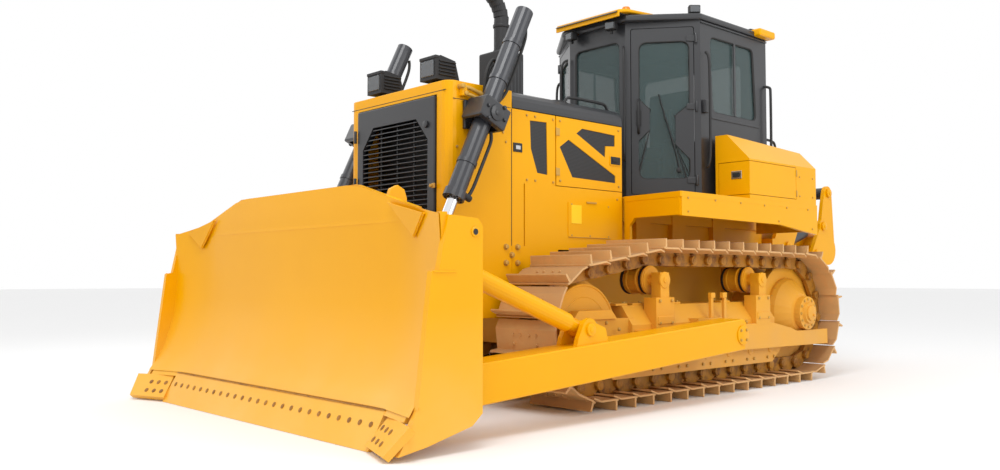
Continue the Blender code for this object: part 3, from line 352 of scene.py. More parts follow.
# %% Worn steel, bright steel and dark mesh
def worn_steel(name, clean, dusty, rusty, metallic):
    material = paint(name, clean, dusty, 0.55, metallic=metallic, peel=0.25)
    tree = material.node_tree
    shader = tree.nodes["Principled BSDF"]
    where = tree.nodes["Texture Coordinate"].outputs["Object"]
    blotch = tree.nodes.new("ShaderNodeTexNoise")
    blotch.inputs["Scale"].default_value = 9.0
    blotch.inputs["Detail"].default_value = 9.0
    blotch.inputs["Roughness"].default_value = 0.7
    tree.links.new(where, blotch.inputs["Vector"])
    ramp = tree.nodes.new("ShaderNodeValToRGB")
    ramp.color_ramp.elements[0].position = 0.47
    ramp.color_ramp.elements[1].position = 0.64
    tree.links.new(blotch.outputs["Fac"], ramp.inputs["Fac"])
    over = tree.nodes.new("ShaderNodeMix")
    over.data_type = "RGBA"
    over.inputs["B"].default_value = (*rusty, 1.0)
    before = shader.inputs["Base Color"].links[0].from_socket
    tree.links.new(before, over.inputs["A"])
    tree.links.new(ramp.outputs["Color"], over.inputs["Factor"])
    facing = tree.nodes.new("ShaderNodeNewGeometry")
    height = tree.nodes.new("ShaderNodeSeparateXYZ")
    tree.links.new(facing.outputs["Normal"], height.inputs["Vector"])
    upward = tree.nodes.new("ShaderNodeMapRange")
    upward.inputs["From Min"].default_value = -0.25
    upward.inputs["From Max"].default_value = 0.9
    upward.inputs["To Max"].default_value = 0.85
    tree.links.new(height.outputs["Z"], upward.inputs["Value"])
    settled = tree.nodes.new("ShaderNodeMix")
    settled.data_type = "RGBA"
    settled.inputs["B"].default_value = (*dusty, 1.0)
    tree.links.new(over.outputs["Result"], settled.inputs["A"])
    tree.links.new(upward.outputs["Result"], settled.inputs["Factor"])
    tree.links.new(settled.outputs["Result"], shader.inputs["Base Color"])
    return material


shoe_steel = worn_steel("shoe_steel", (0.95, 0.58, 0.22), (0.36, 0.19, 0.08),
                        (0.70, 0.38, 0.14), 0.0)
link_steel = worn_steel("link_steel", (0.66, 0.29, 0.002), (0.28, 0.12, 0.018), (0.13, 0.045, 0.004),
                        0.0)
chrome = paint("chromed_rod", (0.80, 0.80, 0.82), (0.72, 0.72, 0.74), 0.12, metallic=1.0, peel=0.0)
bolt_steel = paint("bolt_steel", (0.62, 0.34, 0.03), (0.45, 0.27, 0.08), 0.45, metallic=0.2)
silver = paint("bright_steel", (0.62, 0.62, 0.63), (0.50, 0.50, 0.51), 0.30, metallic=1.0)


def perforated(name, hole, across):
    """Black sheet with rows of round holes, drawn by a Voronoi pattern of cells."""
    material = paint(name, (0.022, 0.022, 0.024), (0.030, 0.030, 0.032), 0.5)
    tree = material.node_tree
    shader = tree.nodes["Principled BSDF"]
    where = tree.nodes["Texture Coordinate"].outputs["Object"]
    cells = tree.nodes.new("ShaderNodeTexVoronoi")
    cells.inputs["Scale"].default_value = 1.0 / across
    cells.inputs["Randomness"].default_value = 0.0
    tree.links.new(where, cells.inputs["Vector"])
    ring = tree.nodes.new("ShaderNodeValToRGB")
    ring.color_ramp.elements[0].position = hole
    ring.color_ramp.elements[0].color = (0.002, 0.002, 0.002, 1)
    ring.color_ramp.elements[1].position = hole + 0.06
    ring.color_ramp.elements[1].color = (0.034, 0.034, 0.036, 1)
    tree.links.new(cells.outputs["Distance"], ring.inputs["Fac"])
    tree.links.new(ring.outputs["Color"], shader.inputs["Base Color"])
    return material


mesh_sheet = perforated("perforated_sheet", 0.42, 0.011)
print("finishes:", len(bpy.data.materials))

# %% [markdown]
# Cab glass is thin, dark and slightly green. It lets some light through, so the seat and
# the far windows show, and its smooth surface gives it the sharp reflections. Lamp glass is
# clear and the beacon is amber.

# %% Glass
def glass(name, colour, roughness, alpha):
    material = bpy.data.materials.new(name)
    material.use_nodes = True
    tree = material.node_tree
    shader = tree.nodes["Principled BSDF"]
    shader.inputs["Base Color"].default_value = (*colour, 1.0)
    shader.inputs["Alpha"].default_value = alpha
    where = tree.nodes.new("ShaderNodeTexCoord").outputs["Object"]
    smear = tree.nodes.new("ShaderNodeTexNoise")
    smear.inputs["Scale"].default_value = 5.0
    smear.inputs["Detail"].default_value = 5.0
    tree.links.new(where, smear.inputs["Vector"])
    spread = tree.nodes.new("ShaderNodeMapRange")
    spread.inputs["To Min"].default_value = roughness
    spread.inputs["To Max"].default_value = roughness + 0.05
    tree.links.new(smear.outputs["Fac"], spread.inputs["Value"])
    tree.links.new(spread.outputs["Result"], shader.inputs["Roughness"])
    return material


cab_glass = glass("cab_glass", (0.060, 0.095, 0.095), 0.02, 0.55)
lamp_glass = glass("lamp_glass", (0.16, 0.17, 0.18), 0.06, 0.70)
amber = glass("amber_lens", (0.85, 0.22, 0.01), 0.12, 0.95)
red_lens = glass("red_lens", (0.45, 0.01, 0.01), 0.12, 0.95)
print("glass ready")

# %% [markdown]
# ## Paint on the solids
# Every solid of the frame gets its finish by name. Its mesh is never touched.

# %% Paint the frame's solids
finish_of = {
    "idler": yellow_low, "final_drive": yellow_low, "track_frame": yellow_low,
    "main_frame": yellow_low, "engine_block": cylinder_grey, "radiator_guard": yellow,
    "radiator_core": black, "grille_door": charcoal, "headlamps": black, "hood_cowl": charcoal,
    "engine_door": yellow, "side_sheet": yellow, "exhaust_stack": black, "fender": yellow,
    "side_box": yellow, "fuel_tank": yellow, "cab_shell": charcoal, "cab_door": charcoal,
    "cab_roof": charcoal, "windshield": cab_glass, "rear_glass": cab_glass,
    "side_glass": cab_glass, "door_glass": cab_glass, "operator_seat": black,
    "dashboard": black, "blade": mould_yellow, "push_arm": yellow, "brace_strut": yellow,
    "tilt_cylinder": cylinder_grey, "lift_yoke": charcoal, "lift_barrel": cylinder_grey,
    "lift_rod": chrome, "ripper_bracket": yellow, "ripper_lower_link": yellow,
    "ripper_beam": yellow, "ripper_shank": link_steel, "ripper_tilt_cylinders": cylinder_grey,
    "ripper_lift_barrels": cylinder_grey, "ripper_lift_rod": chrome, "track": shoe_steel,
}
for name, obj in nodes.items():
    start = max((key for key in finish_of if name.startswith(key)), key=len)
    obj.data.materials.clear()
    obj.data.materials.append(finish_of[start])
print("painted", len(nodes), "solids")

# %% [markdown]
# ## Camera, floor and light
# The camera stands low, near the left front corner, at about the height of the blade's top.

# %% Camera
bpy.ops.object.camera_add(location=at(5.589, -5.094, 0.955))
camera = bpy.context.object
turn, lift = math.radians(47.18), math.radians(2.81)
ahead = Vector((-math.sin(turn) * math.cos(lift), math.cos(turn) * math.cos(lift), math.sin(lift)))
camera.rotation_mode = "QUATERNION"
camera.rotation_quaternion = ahead.to_track_quat("-Z", "Y")
camera.data.sensor_width = 36.0
camera.data.lens = 32.6
camera.data.shift_x, camera.data.shift_y = -0.003, -0.0013
bpy.context.scene.camera = camera
print("camera at", tuple(round(v, 2) for v in camera.location))

# %% [markdown]
# The Standard view shows paint at the colour it was mixed to, where a filmic view would grey
# a strong yellow. A plain pale floor catches the contact shadow. A large soft lamp above
# gives the bright top faces, weaker ones fill both sides, and the white world lights the rest.

# %% Floor and lights
select_only()
bpy.ops.mesh.primitive_plane_add(size=160.0, location=(0, 0, -0.002))
floor = bpy.context.object
floor.name = "floor"
pale = bpy.data.materials.new("pale_floor")
pale.use_nodes = True
pale.node_tree.nodes["Principled BSDF"].inputs["Base Color"].default_value = (0.86, 0.86, 0.86, 1)
pale.node_tree.nodes["Principled BSDF"].inputs["Roughness"].default_value = 0.9
floor.data.materials.append(pale)

world = bpy.data.worlds.new("soft_sky")
world.use_nodes = True
world.node_tree.nodes["Background"].inputs["Color"].default_value = (1.0, 1.0, 1.0, 1.0)
world.node_tree.nodes["Background"].inputs["Strength"].default_value = 1.0
bpy.context.scene.world = world
bpy.context.scene.view_settings.view_transform = "Standard"


def softbox(place, power, size):
    bpy.ops.object.light_add(type="AREA", location=place)
    lamp = bpy.context.object
    lamp.rotation_mode = "QUATERNION"
    lamp.rotation_quaternion = (Vector((0, 0, 1.2)) - lamp.location).to_track_quat("-Z", "Y")
    lamp.data.energy = power
    lamp.data.size = size


softbox((3.5, -5.0, 8.5), 340.0, 3.5)
softbox((9.0, 1.5, 5.0), 160.0, 4.0)
softbox((-6.0, -3.0, 6.0), 60.0, 5.0)

# %% [markdown]
# ## Tracks
# A track is a chain of links with a shoe bolted to each. The chain runs round the idler in
# front, over two carrier rollers and round the sprocket. The chain's path is the belt round
# those four circles, so it is built from their tangents: each straight stretch leaves one
# circle and meets the next, and the rest is arc.

# %% The chain's path
idler_low, idler_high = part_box("idler_left")
drive_low, drive_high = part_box("final_drive_left")
idler_y, idler_z = (idler_low.y + idler_high.y) / 2, (idler_low.z + idler_high.z) / 2
drive_y, drive_z = (drive_low.y + drive_high.y) / 2, (drive_low.z + drive_high.z) / 2
wheels = [((idler_y, idler_z), 0.410), ((0.645 + FIRST_SHOE_Y, 0.940), 0.165),
          ((2.057 + FIRST_SHOE_Y, 0.940), 0.165), ((drive_y, drive_z), 0.468)]
TRACK_X = (idler_low.x + idler_high.x) / 2
LINKS = 40


def chain_path():
    """Stretches of the belt, clockwise: straight ones and arcs, each with its length."""
    normals = []
    for n, (here, radius) in enumerate(wheels):
        there, next_radius = wheels[(n + 1) % len(wheels)]
        heading = math.atan2(there[1] - here[1], there[0] - here[0])
        normals.append(heading + math.acos((radius - next_radius) / math.dist(here, there)))
    path = []
    for n, (here, radius) in enumerate(wheels):
        there, next_radius = wheels[(n + 1) % len(wheels)]
        sweep = (normals[n - 1] - normals[n]) % (2 * math.pi)
        path.append(("arc", Vector(here), radius, normals[n - 1], sweep * radius))
        out = Vector((math.cos(normals[n]), math.sin(normals[n])))
        start, end = Vector(here) + radius * out, Vector(there) + next_radius * out
        path.append(("line", start, end, out, (end - start).length))
    return path


def on_chain(distance):
    """The pin's place and its outward direction, a distance along the belt."""
    path = chain_path()
    distance %= sum(stretch[-1] for stretch in path)
    for stretch in path:
        if distance <= stretch[-1]:
            break
        distance -= stretch[-1]
    if stretch[0] == "arc":
        angle = stretch[3] - distance / stretch[2]
        out = Vector((math.cos(angle), math.sin(angle)))
        return stretch[1] + stretch[2] * out, out
    return stretch[1].lerp(stretch[2], distance / stretch[-1]), stretch[3]


length = sum(stretch[-1] for stretch in chain_path())
print("belt", round(length, 3), "m, pitch", round(length / LINKS, 4), "m")

# %% [markdown]
# Counting starts under the idler, at the end of the long lower run. The phase is how far the
# first shoe is past that point, set so that a shoe lands where the frame's belt has one.

# %% Where each shoe sits
def stations(phase):
    spots = []
    for n in range(LINKS):
        point, out = on_chain(length * n / LINKS + phase)
        spots.append(Matrix.Translation((TRACK_X, point.x, point.y))
                     @ Matrix.Rotation(math.atan2(out.y, out.x) - math.pi / 2, 4, "X"))
    return spots


FIRST_SHOE_PHASE = 0.1624
shoe_spots = stations(FIRST_SHOE_PHASE)
print("first shoe at", [round(v, 3) for v in shoe_spots[0].translation])

# %% [markdown]
# A shoe is a rolled plate with one tall grouser. Its leading edge bends down to overlap the
# next shoe, and its corners are clipped so that they don't catch. It is modelled lying flat:
# a long block, with the clipped corners made by moving corner vertices in.

# %% One shoe
def one_shoe():
    half = 0.303
    deck = block((-half, -0.101, 0.075), (half, 0.150, 0.091), 0.003, 1)
    select_only(deck)
    bpy.ops.object.mode_set(mode="EDIT")
    bpy.ops.mesh.select_all(action="SELECT")
    bpy.ops.mesh.bisect(plane_co=(0, 0.085, 0), plane_no=(0, 1, 0))
    bpy.ops.mesh.select_all(action="SELECT")
    bpy.ops.mesh.bisect(plane_co=(0, -0.072, 0), plane_no=(0, 1, 0))
    bpy.ops.object.mode_set(mode="OBJECT")
    for vertex in deck.data.vertices:
        if vertex.co.y > 0.12:
            vertex.co.z -= 0.024
            vertex.co.x *= 0.95
        if vertex.co.y < -0.08:
            vertex.co.z += 0.004
    grouser = plate([(-half, -0.086, 0.088), (-half, -0.066, 0.088), (-half, -0.068, 0.155),
                     (-half, -0.072, 0.1598), (-half, -0.080, 0.1598), (-half, -0.084, 0.155)],
                    (1, 0, 0), 2 * half, 0.0)
    heads = bolts([((x, y, 0.091), (0, 0, 1)) for x in (-0.115, -0.045, 0.045, 0.115)
                   for y in (-0.020, 0.045) if abs(x) > 0.1 or y > 0], 0.013)
    return joined(deck, grouser, heads)


shoe = one_shoe()
shoes = copies(shoe, shoe_spots)
print("shoe faces:", len(shoes.data.polygons))

# %% [markdown]
# Under the shoe run two rows of forged links. Each link is a flat bar with a waist, set a
# little outside its neighbour at one end, and a pin with a round bushing joins them. The
# sprocket's teeth catch the bushings.

# %% Links, pins and bushings
def one_link():
    pieces = []
    for side in (-1, 1):
        x = side * 0.075
        outline = [(x - 0.019, y, z) for y, z in (
            (-0.100, 0.046), (-0.124, 0.018), (-0.124, -0.026), (-0.098, -0.050), (-0.030, -0.052),
            (0.060, -0.052), (0.100, -0.046), (0.116, -0.020), (0.112, 0.030), (0.086, 0.052),
            (0.060, 0.074), (-0.064, 0.074))]
        pieces.append(plate(outline, (1, 0, 0), 0.038, 0.003))
        pieces.append(bar((side * 0.092, -0.108, -0.002), (side * 0.128, -0.108, -0.002), 0.040,
                          14, 0.006))
        pieces.append(bar((side * 0.127, -0.108, -0.002), (side * 0.131, -0.108, -0.002), 0.020, 10))
    pieces.append(bar((-0.058, -0.108, -0.002), (0.058, -0.108, -0.002), 0.033, 14))
    return joined(*pieces)


links = copies(one_link(), shoe_spots)
shoes_right, links_right = other_side(shoes), other_side(links)
keep(shoes, "track_shoes_left", "chassis", shoe_steel, "track_left")
keep(shoes_right, "track_shoes_right", "chassis", shoe_steel, "track_right")
keep(links, "track_links_left", "chassis", link_steel)
keep(links_right, "track_links_right", "chassis", link_steel)
print("link faces:", len(links.data.polygons))

# %% [markdown]
# ## Idler, rollers and drive
# The idler has a dished web with a cast rim, and the drive has a ring of bolts round its
# hub with a cover in its middle. The sprocket is made of segments, each with its own bolts.

# %% Hub details
def ring_of(centre, x, radius, count):
    return [((x, centre[0] + radius * math.cos(2 * math.pi * n / count),
              centre[1] + radius * math.sin(2 * math.pi * n / count)), (1, 0, 0))
            for n in range(count)]


drive = (drive_y, drive_z)
hub_bolts = bolts(ring_of(drive, drive_high.x - 0.026, 0.130, 12), 0.014)
case_bolts = bolts(ring_of(drive, 1.060, 0.318, 24), 0.013)
keep_pair(joined(hub_bolts, case_bolts), "final_drive_bolts", "chassis", bolt_steel)
cap = bar((1.290, *drive), (1.318, *drive), 0.070, 24, 0.006)
plug = bar((1.316, drive[0] + 0.03, drive[1] - 0.02), (1.328, drive[0] + 0.03, drive[1] - 0.02),
           0.014, 8, 0.002)
keep_pair(joined(cap, plug), "final_drive_cap", "chassis", yellow_low)


def tooth_ring():
    """Sprocket teeth: rounded wedges, seated between the chain's bushings."""
    tooth = plate([(-0.036, -0.030, 0.395), (-0.036, 0.030, 0.395), (-0.036, 0.018, 0.452),
                   (-0.036, 0.008, 0.466), (-0.036, -0.008, 0.466), (-0.036, -0.018, 0.452)],
                  (1, 0, 0), 0.072, 0.003)
    turns = [Matrix.Translation((TRACK_X, *drive)) @ Matrix.Rotation(2 * math.pi * n / 13.6, 4, "X")
             for n in range(13)]
    return copies(tooth, turns)


keep_pair(tooth_ring(), "sprocket_teeth", "chassis", link_steel)
idler = (idler_y, idler_z)
rim = []
for radius, x, deep in ((0.335, 1.100, 0.012), (0.250, 1.098, 0.010), (0.120, 1.104, 0.030)):
    select_only()
    bpy.ops.mesh.primitive_torus_add(major_radius=radius, minor_radius=deep, major_segments=48,
                                     minor_segments=8, location=(x, *idler),
                                     rotation=(0, math.pi / 2, 0))
    rim.append(apply_place(bpy.context.object))
    bpy.ops.object.shade_smooth()
keep_pair(joined(*rim), "idler_rims", "chassis", yellow_low)
print("hubs done")

# %% [markdown]
# The roller frame carries covers, bolts and brackets. A row of round caps shows where the
# roller shafts end above the guard, and each carrier roller hangs from a clamped bracket.

# %% Roller frame details
frame_pieces, frame_bolts = [], []
for n in range(7):
    place = at(0, 0.30 + 0.332 * n, 0.321)
    frame_pieces.append(bar((1.170, place.y, place.z), (1.192, place.y, place.z), 0.040, 14, 0.005))
    frame_bolts += [((1.185, place.y + dy, 0.245), (1, 0, 0)) for dy in (-0.055, 0.055)]
for y in (0.645, 2.057):
    place = at(0, y, 0.94)
    for dz, dy in ((-0.16, -0.085), (-0.16, 0.065), (-0.33, -0.085), (-0.33, 0.065)):
        frame_bolts.append(((1.270, place.y + dy, place.z + dz), (1, 0, 0)))
    frame_pieces.append(bar((1.235, place.y, place.z), (1.262, place.y, place.z), 0.066, 20, 0.008))
    frame_pieces.append(bar((1.255, place.y, place.z), (1.268, place.y, place.z), 0.026, 10, 0.003))
    frame_pieces.append(block(at(1.262, y - 0.11, 0.60), at(1.276, y + 0.085, 0.66), 0.004))
for y in (0.12, 1.02, 1.55, 1.83):
    frame_bolts.append((at(1.228, y, 0.575), (1, 0, 0)))
for y in (0.22, 0.42, 0.90, 1.62):
    frame_pieces.append(block(at(1.00, y, 0.742), at(1.115, y + 0.14, 0.762), 0.006))
    frame_bolts += [(at(1.03, y + 0.02, 0.762), (0, 0, 1)), (at(1.09, y + 0.12, 0.762), (0, 0, 1))]
for y in (-0.36, -0.24, -0.10, 0.02):
    frame_bolts += [(at(1.190, y, 0.515), (1, 0, 0)), (at(1.190, y, 0.625), (1, 0, 0))]
frame_pieces.append(block(at(1.186, -0.44, 0.50), at(1.200, -0.30, 0.64), 0.006))
keep_pair(joined(*frame_pieces), "roller_frame_fittings", "chassis", yellow_low)
keep_pair(bolts(frame_bolts, 0.015), "roller_frame_bolts", "chassis", bolt_steel)
print("roller frames done")

# %% [markdown]
# The carrier rollers have a dark seal and a raised flange on each side, and between them a
# U-shaped guide bracket stands on the frame.

# %% Carrier roller seals and guide bracket
seals, flanges = [], []
for y in (0.645, 2.057):
    place = at(0, y, 0.94)
    for x in (0.905, 1.085):
        seals.append(bar((x - 0.012, place.y, place.z), (x + 0.012, place.y, place.z), 0.112, 28,
                         0.004))
    for x in (0.950, 1.045, 1.110):
        flanges.append(bar((x - 0.009, place.y, place.z), (x + 0.009, place.y, place.z), 0.116, 28,
                           0.004))
keep_pair(joined(*seals), "carrier_seals", "chassis", rubber)
keep_pair(joined(*flanges), "carrier_flanges", "chassis", yellow_low)
guide = [block(at(1.235, y - 0.018, 0.55), at(1.262, y + 0.018, 0.835), 0.004)
         for y in (1.275, 1.465)]
guide += [block(at(1.225, 1.255, 0.545), at(1.268, 1.485, 0.60), 0.005),
          block(at(1.232, 1.255, 0.79), at(1.266, 1.315, 0.835), 0.004),
          block(at(1.232, 1.425, 0.79), at(1.266, 1.485, 0.835), 0.004)]
keep_pair(joined(*guide), "guide_bracket", "chassis", yellow_low)
print("carriers done")

# %% [markdown]
# ## Blade
# The mouldboard's cutting edge is bolted on with plough bolts, whose heads lie flush in
# sockets. Small corner gussets, edged by a weld bead, stiffen the joint between the raised
# middle and the wings. The end plates carry a lifting hole.

# %% Cutting edge bolts
def edge_spot(x, share):
    """A point on the cutting edge's face, a share of the way up it."""
    low, high = at(x, -2.222, 0.006), at(x, -2.105, 0.213)
    return low.lerp(high, share)


face_out = (edge_spot(0, 1) - edge_spot(0, 0)).cross(Vector((-1, 0, 0))).normalized()
if face_out.y > 0:
    face_out = -face_out
sockets = [(edge_spot(-1.32 + 0.11 * n, 0.62) + face_out * 0.001, face_out) for n in range(25)]


def plough_bolts(spots, size):
    ring = bar((0, 0, -0.004), (0, 0, 0.0015), size, 14)
    dish = bar((0, 0, -0.006), (0, 0, 0.0030), size * 0.66, 4)
    places = [Matrix.Translation(point) @ Vector(out).to_track_quat("Z", "Y").to_matrix().to_4x4()
              for point, out in spots]
    return copies(joined(ring, dish), places)


keep(plough_bolts(sockets, 0.017), "cutting_edge_bolts", "blade", link_steel)
# This thin strip of darker steel along the top of the cutting edge is a painted shadow line under the
# mouldboard's step.
seam = block(at(-1.395, -2.111, 0.2135), at(1.395, -2.092, 0.2195), 0.001)
keep(seam, "cutting_edge_shadow_line", "blade", link_steel)

# %% [markdown]
# The mouldboard is one rolled sheet. A grid is bent to the blade's section, folded forward
# at both wings and trimmed along its top, so that it shades as one smooth curve, and then
# gets a thin wall. It lies on the solid's front, a few millimetres proud.

# %% Rolled face sheet
section = [(0.222, -2.089), (0.33, -2.019), (0.48, -1.959), (0.66, -1.909), (0.86, -1.8845),
           (1.06, -1.8835), (1.26, -1.896), (1.40, -1.906), (1.547, -1.908)]
fold_x, fold_y, wing_end = 1.36, -1.88, 1.730
fold = math.radians(15)


def face_y(z):
    """The section's depth at a height, smoothed through its points."""
    n = max(i for i in range(len(section) - 1) if section[i][0] <= z + 1e-6)
    before, after = max(n - 1, 0), min(n + 2, len(section) - 1)
    (z0, y0), (z1, y1) = section[n], section[n + 1]
    slope0 = (y1 - section[before][1]) / (z1 - section[before][0])
    slope1 = (section[after][1] - y0) / (section[after][0] - z0)
    t, span = (z - z0) / (z1 - z0), z1 - z0
    return ((2 * t**3 - 3 * t**2 + 1) * y0 + (t**3 - 2 * t**2 + t) * slope0 * span
            + (3 * t**2 - 2 * t**3) * y1 + (t**3 - t**2) * slope1 * span)


def top_of_sheet(x):
    if x < 0.773:
        return 1.547
    if x < 1.40:
        return 1.547 - 0.177 * (x - 0.773) / 0.627
    return 1.370 - 0.060 * (x - 1.40) / (wing_end - 1.40)


def sheet_point(column, t):
    """A point of the sheet; columns run from -1 to 1, and past 0.8 they are on a wing."""
    side = -1 if column < 0 else 1
    share = abs(column)
    x = share / 0.8 * fold_x if share <= 0.8 else fold_x + (share - 0.8) / 0.2 * (wing_end - fold_x)
    z = section[0][0] + t * (top_of_sheet(x) - section[0][0])
    y = face_y(z)
    if share > 0.8:
        depth = y - fold_y
        along_wing = (x - fold_x - depth * math.sin(fold)) / math.cos(fold)
        y = fold_y - along_wing * math.sin(fold) + depth * math.cos(fold)
    return at(side * x, y, z)


columns, rows = 20, 36
select_only()
bpy.ops.mesh.primitive_grid_add(x_subdivisions=columns, y_subdivisions=rows, size=2.0)
sheet = bpy.context.object
for vertex in sheet.data.vertices:
    vertex.co = sheet_point(vertex.co.x, (vertex.co.y + 1) / 2)
wall = sheet.modifiers.new("wall", "SOLIDIFY")
wall.thickness = 0.003
wall.offset = -1.0
select_only(sheet)
bpy.ops.object.modifier_apply(modifier="wall")
bpy.ops.object.shade_smooth_by_angle(angle=math.radians(30))
keep(sheet, "mouldboard_sheet", "blade", mould_yellow)

lug = plate([at(1.03, -1.855, 1.36), at(1.03, -1.715, 1.36), at(1.03, -1.715, 1.45),
             at(1.03, -1.735, 1.505), at(1.03, -1.785, 1.53), at(1.03, -1.835, 1.505),
             at(1.03, -1.855, 1.45)], (1, 0, 0), 0.035, 0.003)
keep_pair(lug, "blade_lifting_lug", "blade", mould_yellow)
print("face sheet:", len(sheet.data.polygons), "faces")

# %% [markdown]
# The two end bits are separate castings, fixed with six bolts each. Their place is found by
# sending a ray at the blade's own solid, so the bolts sit on whatever surface is there.

# %% End bit bolts and gussets
def on_blade(x, z):
    """The point and normal where a ray from well ahead meets the blade."""
    found = nodes["blade"].ray_cast(at(x, -3.2, z), Vector((0, 1, 0)))
    return found[1:3] if found[0] else None


bit_spots = []
for row, z in enumerate((0.075, 0.135)):
    for n in range(3):
        met = on_blade(1.44 + 0.075 * n + 0.02 * row, z)
        if met:
            point, normal = met
            bit_spots.append((point + normal * 0.001, normal))
print("end bit bolts:", len(bit_spots))
keep_pair(plough_bolts(bit_spots, 0.018), "end_bit_bolts", "blade", link_steel)

tip, inner, outer = at(1.404, -1.914, 1.195), at(1.160, -1.922, 1.408), at(1.552, -1.960, 1.322)
gusset = plate([tip, outer, inner], (0, -1, 0.1), 0.014, 0.002)
weld = bent_tube([inner, tip, outer], 0.007, 2, False)
keep_pair(joined(gusset, weld), "corner_gussets", "blade", mould_yellow)

# %% [markdown]
# On its outer side an end plate has a short weld bar at its step, a smaller one near its
# foot, and a lifting hole with a reinforcing ring at its rear upper corner; the hole is not
# cut but is a black disc of painted shade.

# %% End plate details
ring = bar(at(1.764, -1.765, 1.215), at(1.772, -1.765, 1.215), 0.030, 20, 0.003)
# A thin black disc in the ring is painted shade for the lifting hole's dark inside.
hole = bar(at(1.771, -1.765, 1.215), at(1.7735, -1.765, 1.215), 0.018, 16)
keep_pair(ring, "end_plate_ring", "blade", mould_yellow)
keep_pair(hole, "end_plate_hole_shade", "blade", black)
strip = [block(at(1.764, -2.06, 0.985), at(1.771, -1.90, 0.996), 0.002),
         block(at(1.764, -2.155, 0.26), at(1.770, -2.145, 0.272), 0.002)]
keep_pair(joined(*strip), "end_plate_strips", "blade", mould_yellow)

# %% [markdown]
# Headed pins join the blade, the push arms and the struts, and the one at the blade's foot
# has a keeper plate with a bolt. The trunnion behind has a bearing cap with four bolts.

# %% Pins on the blade's linkage
pins = []
for x in (1.385, 1.575):
    pins.append(bar(at(x - 0.015, -0.585, 0.615), at(x + 0.015, -0.585, 0.615), 0.042, 18, 0.006))
pins.append(bar(at(1.566, -0.585, 0.615), at(1.594, -0.585, 0.615), 0.022, 10, 0.004))
pins.append(bar(at(1.40, -1.700, 0.300), at(1.615, -1.700, 0.300), 0.040, 18, 0.006))
pins.append(block(at(1.596, -1.665, 0.285), at(1.606, -1.600, 0.315), 0.003))
pins.append(bar(at(1.600, 1.19, 0.505), at(1.610, 1.19, 0.505), 0.078, 24, 0.004))
keep_pair(joined(*pins), "linkage_pins", "blade", yellow)
arm_bolts = [(at(1.610, 1.19 + 0.055 * math.cos(a), 0.505 + 0.055 * math.sin(a)), (1, 0, 0))
             for a in (0.8, 2.35, 3.9, 5.5)]
arm_bolts += [(at(1.604, -1.615, 0.300), (1, 0, 0)), (at(1.604, -1.79, 0.20), (1, 0, 0)),
              (at(1.604, -1.79, 0.38), (1, 0, 0))]
keep_pair(bolts(arm_bolts, 0.013), "linkage_bolts", "blade", bolt_steel)
print("blade done")

# %% [markdown]
# ## Grille door
# The grille is a dark frame with close slats that lean like a shutter's. The frame is a
# plate with its opening cut by a Boolean modifier, and the slats get shorter where the
# opening's upper corners are clipped.

# %% Grille
def cut_out(obj, cutter):
    """Cuts one closed piece from another and applies it."""
    select_only(obj)
    step = obj.modifiers.new("cut", "BOOLEAN")
    step.object = cutter
    step.solver = "EXACT"
    bpy.ops.object.modifier_apply(modifier=step.name)
    bpy.data.objects.remove(cutter)
    return obj


grille_low, grille_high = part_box("grille_door")


def grille_half_width(z):
    return 0.405 if z < 1.955 else 0.405 - (z - 1.955) * 0.86


opening = [at(-0.415, -1.2, 1.150), at(0.415, -1.2, 1.150), at(0.415, -1.2, 1.965),
           at(0.275, -1.2, 2.130), at(-0.275, -1.2, 2.130), at(-0.415, -1.2, 1.965)]
surround = block(grille_low + Vector((0, 0.004, 0)), grille_high, 0.008)
surround = cut_out(surround, plate(opening, (0, 1, 0), 0.4, 0.0))
inner_step = block(at(-0.43, -1.020, 1.135), at(0.43, -1.000, 2.145), 0.003)
inner_step = cut_out(inner_step, plate(opening, (0, 1, 0), 0.4, 0.0))
slats = []
for n in range(27):
    z = 1.172 + 0.0362 * n
    half = grille_half_width(z) + 0.012
    slat = block((-half, -0.019, -0.0035), (half, 0.019, 0.0035), 0.002, 1)
    slat.data.transform(Matrix.Translation(at(0, -1.028, z)) @ Matrix.Rotation(math.radians(24), 4,
                                                                                "X"))
    slats.append(slat)
posts = [block(at(x - 0.006, -1.016, 1.14), at(x + 0.006, -1.004, 2.13), 0.002)
         for x in (-0.21, 0.0, 0.21)]
knob = bar(at(0.40, -1.052, 2.075), at(0.40, -1.066, 2.075), 0.026, 20, 0.004)
grille = joined(surround, inner_step, *slats, *posts, knob)
keep(grille, "grille", "grille_door", charcoal, "grille_door")
hinges = []
for z in (1.32, 1.70, 2.08):
    hinges.append(bar(at(-0.505, -1.060, z - 0.05), at(-0.505, -1.060, z + 0.05), 0.012, 12, 0.002))
keep(joined(*hinges), "grille_hinges", "grille_door", charcoal)
latch = block(at(0.478, -1.062, 1.602), at(0.512, -1.050, 1.638), 0.004)
latch_knob = bar(at(0.478, -1.060, 1.62), at(0.478, -1.075, 1.62), 0.013, 12, 0.003)
keep(joined(latch, latch_knob), "grille_latch", "grille_door", bolt_steel)
print("slats:", len(slats))
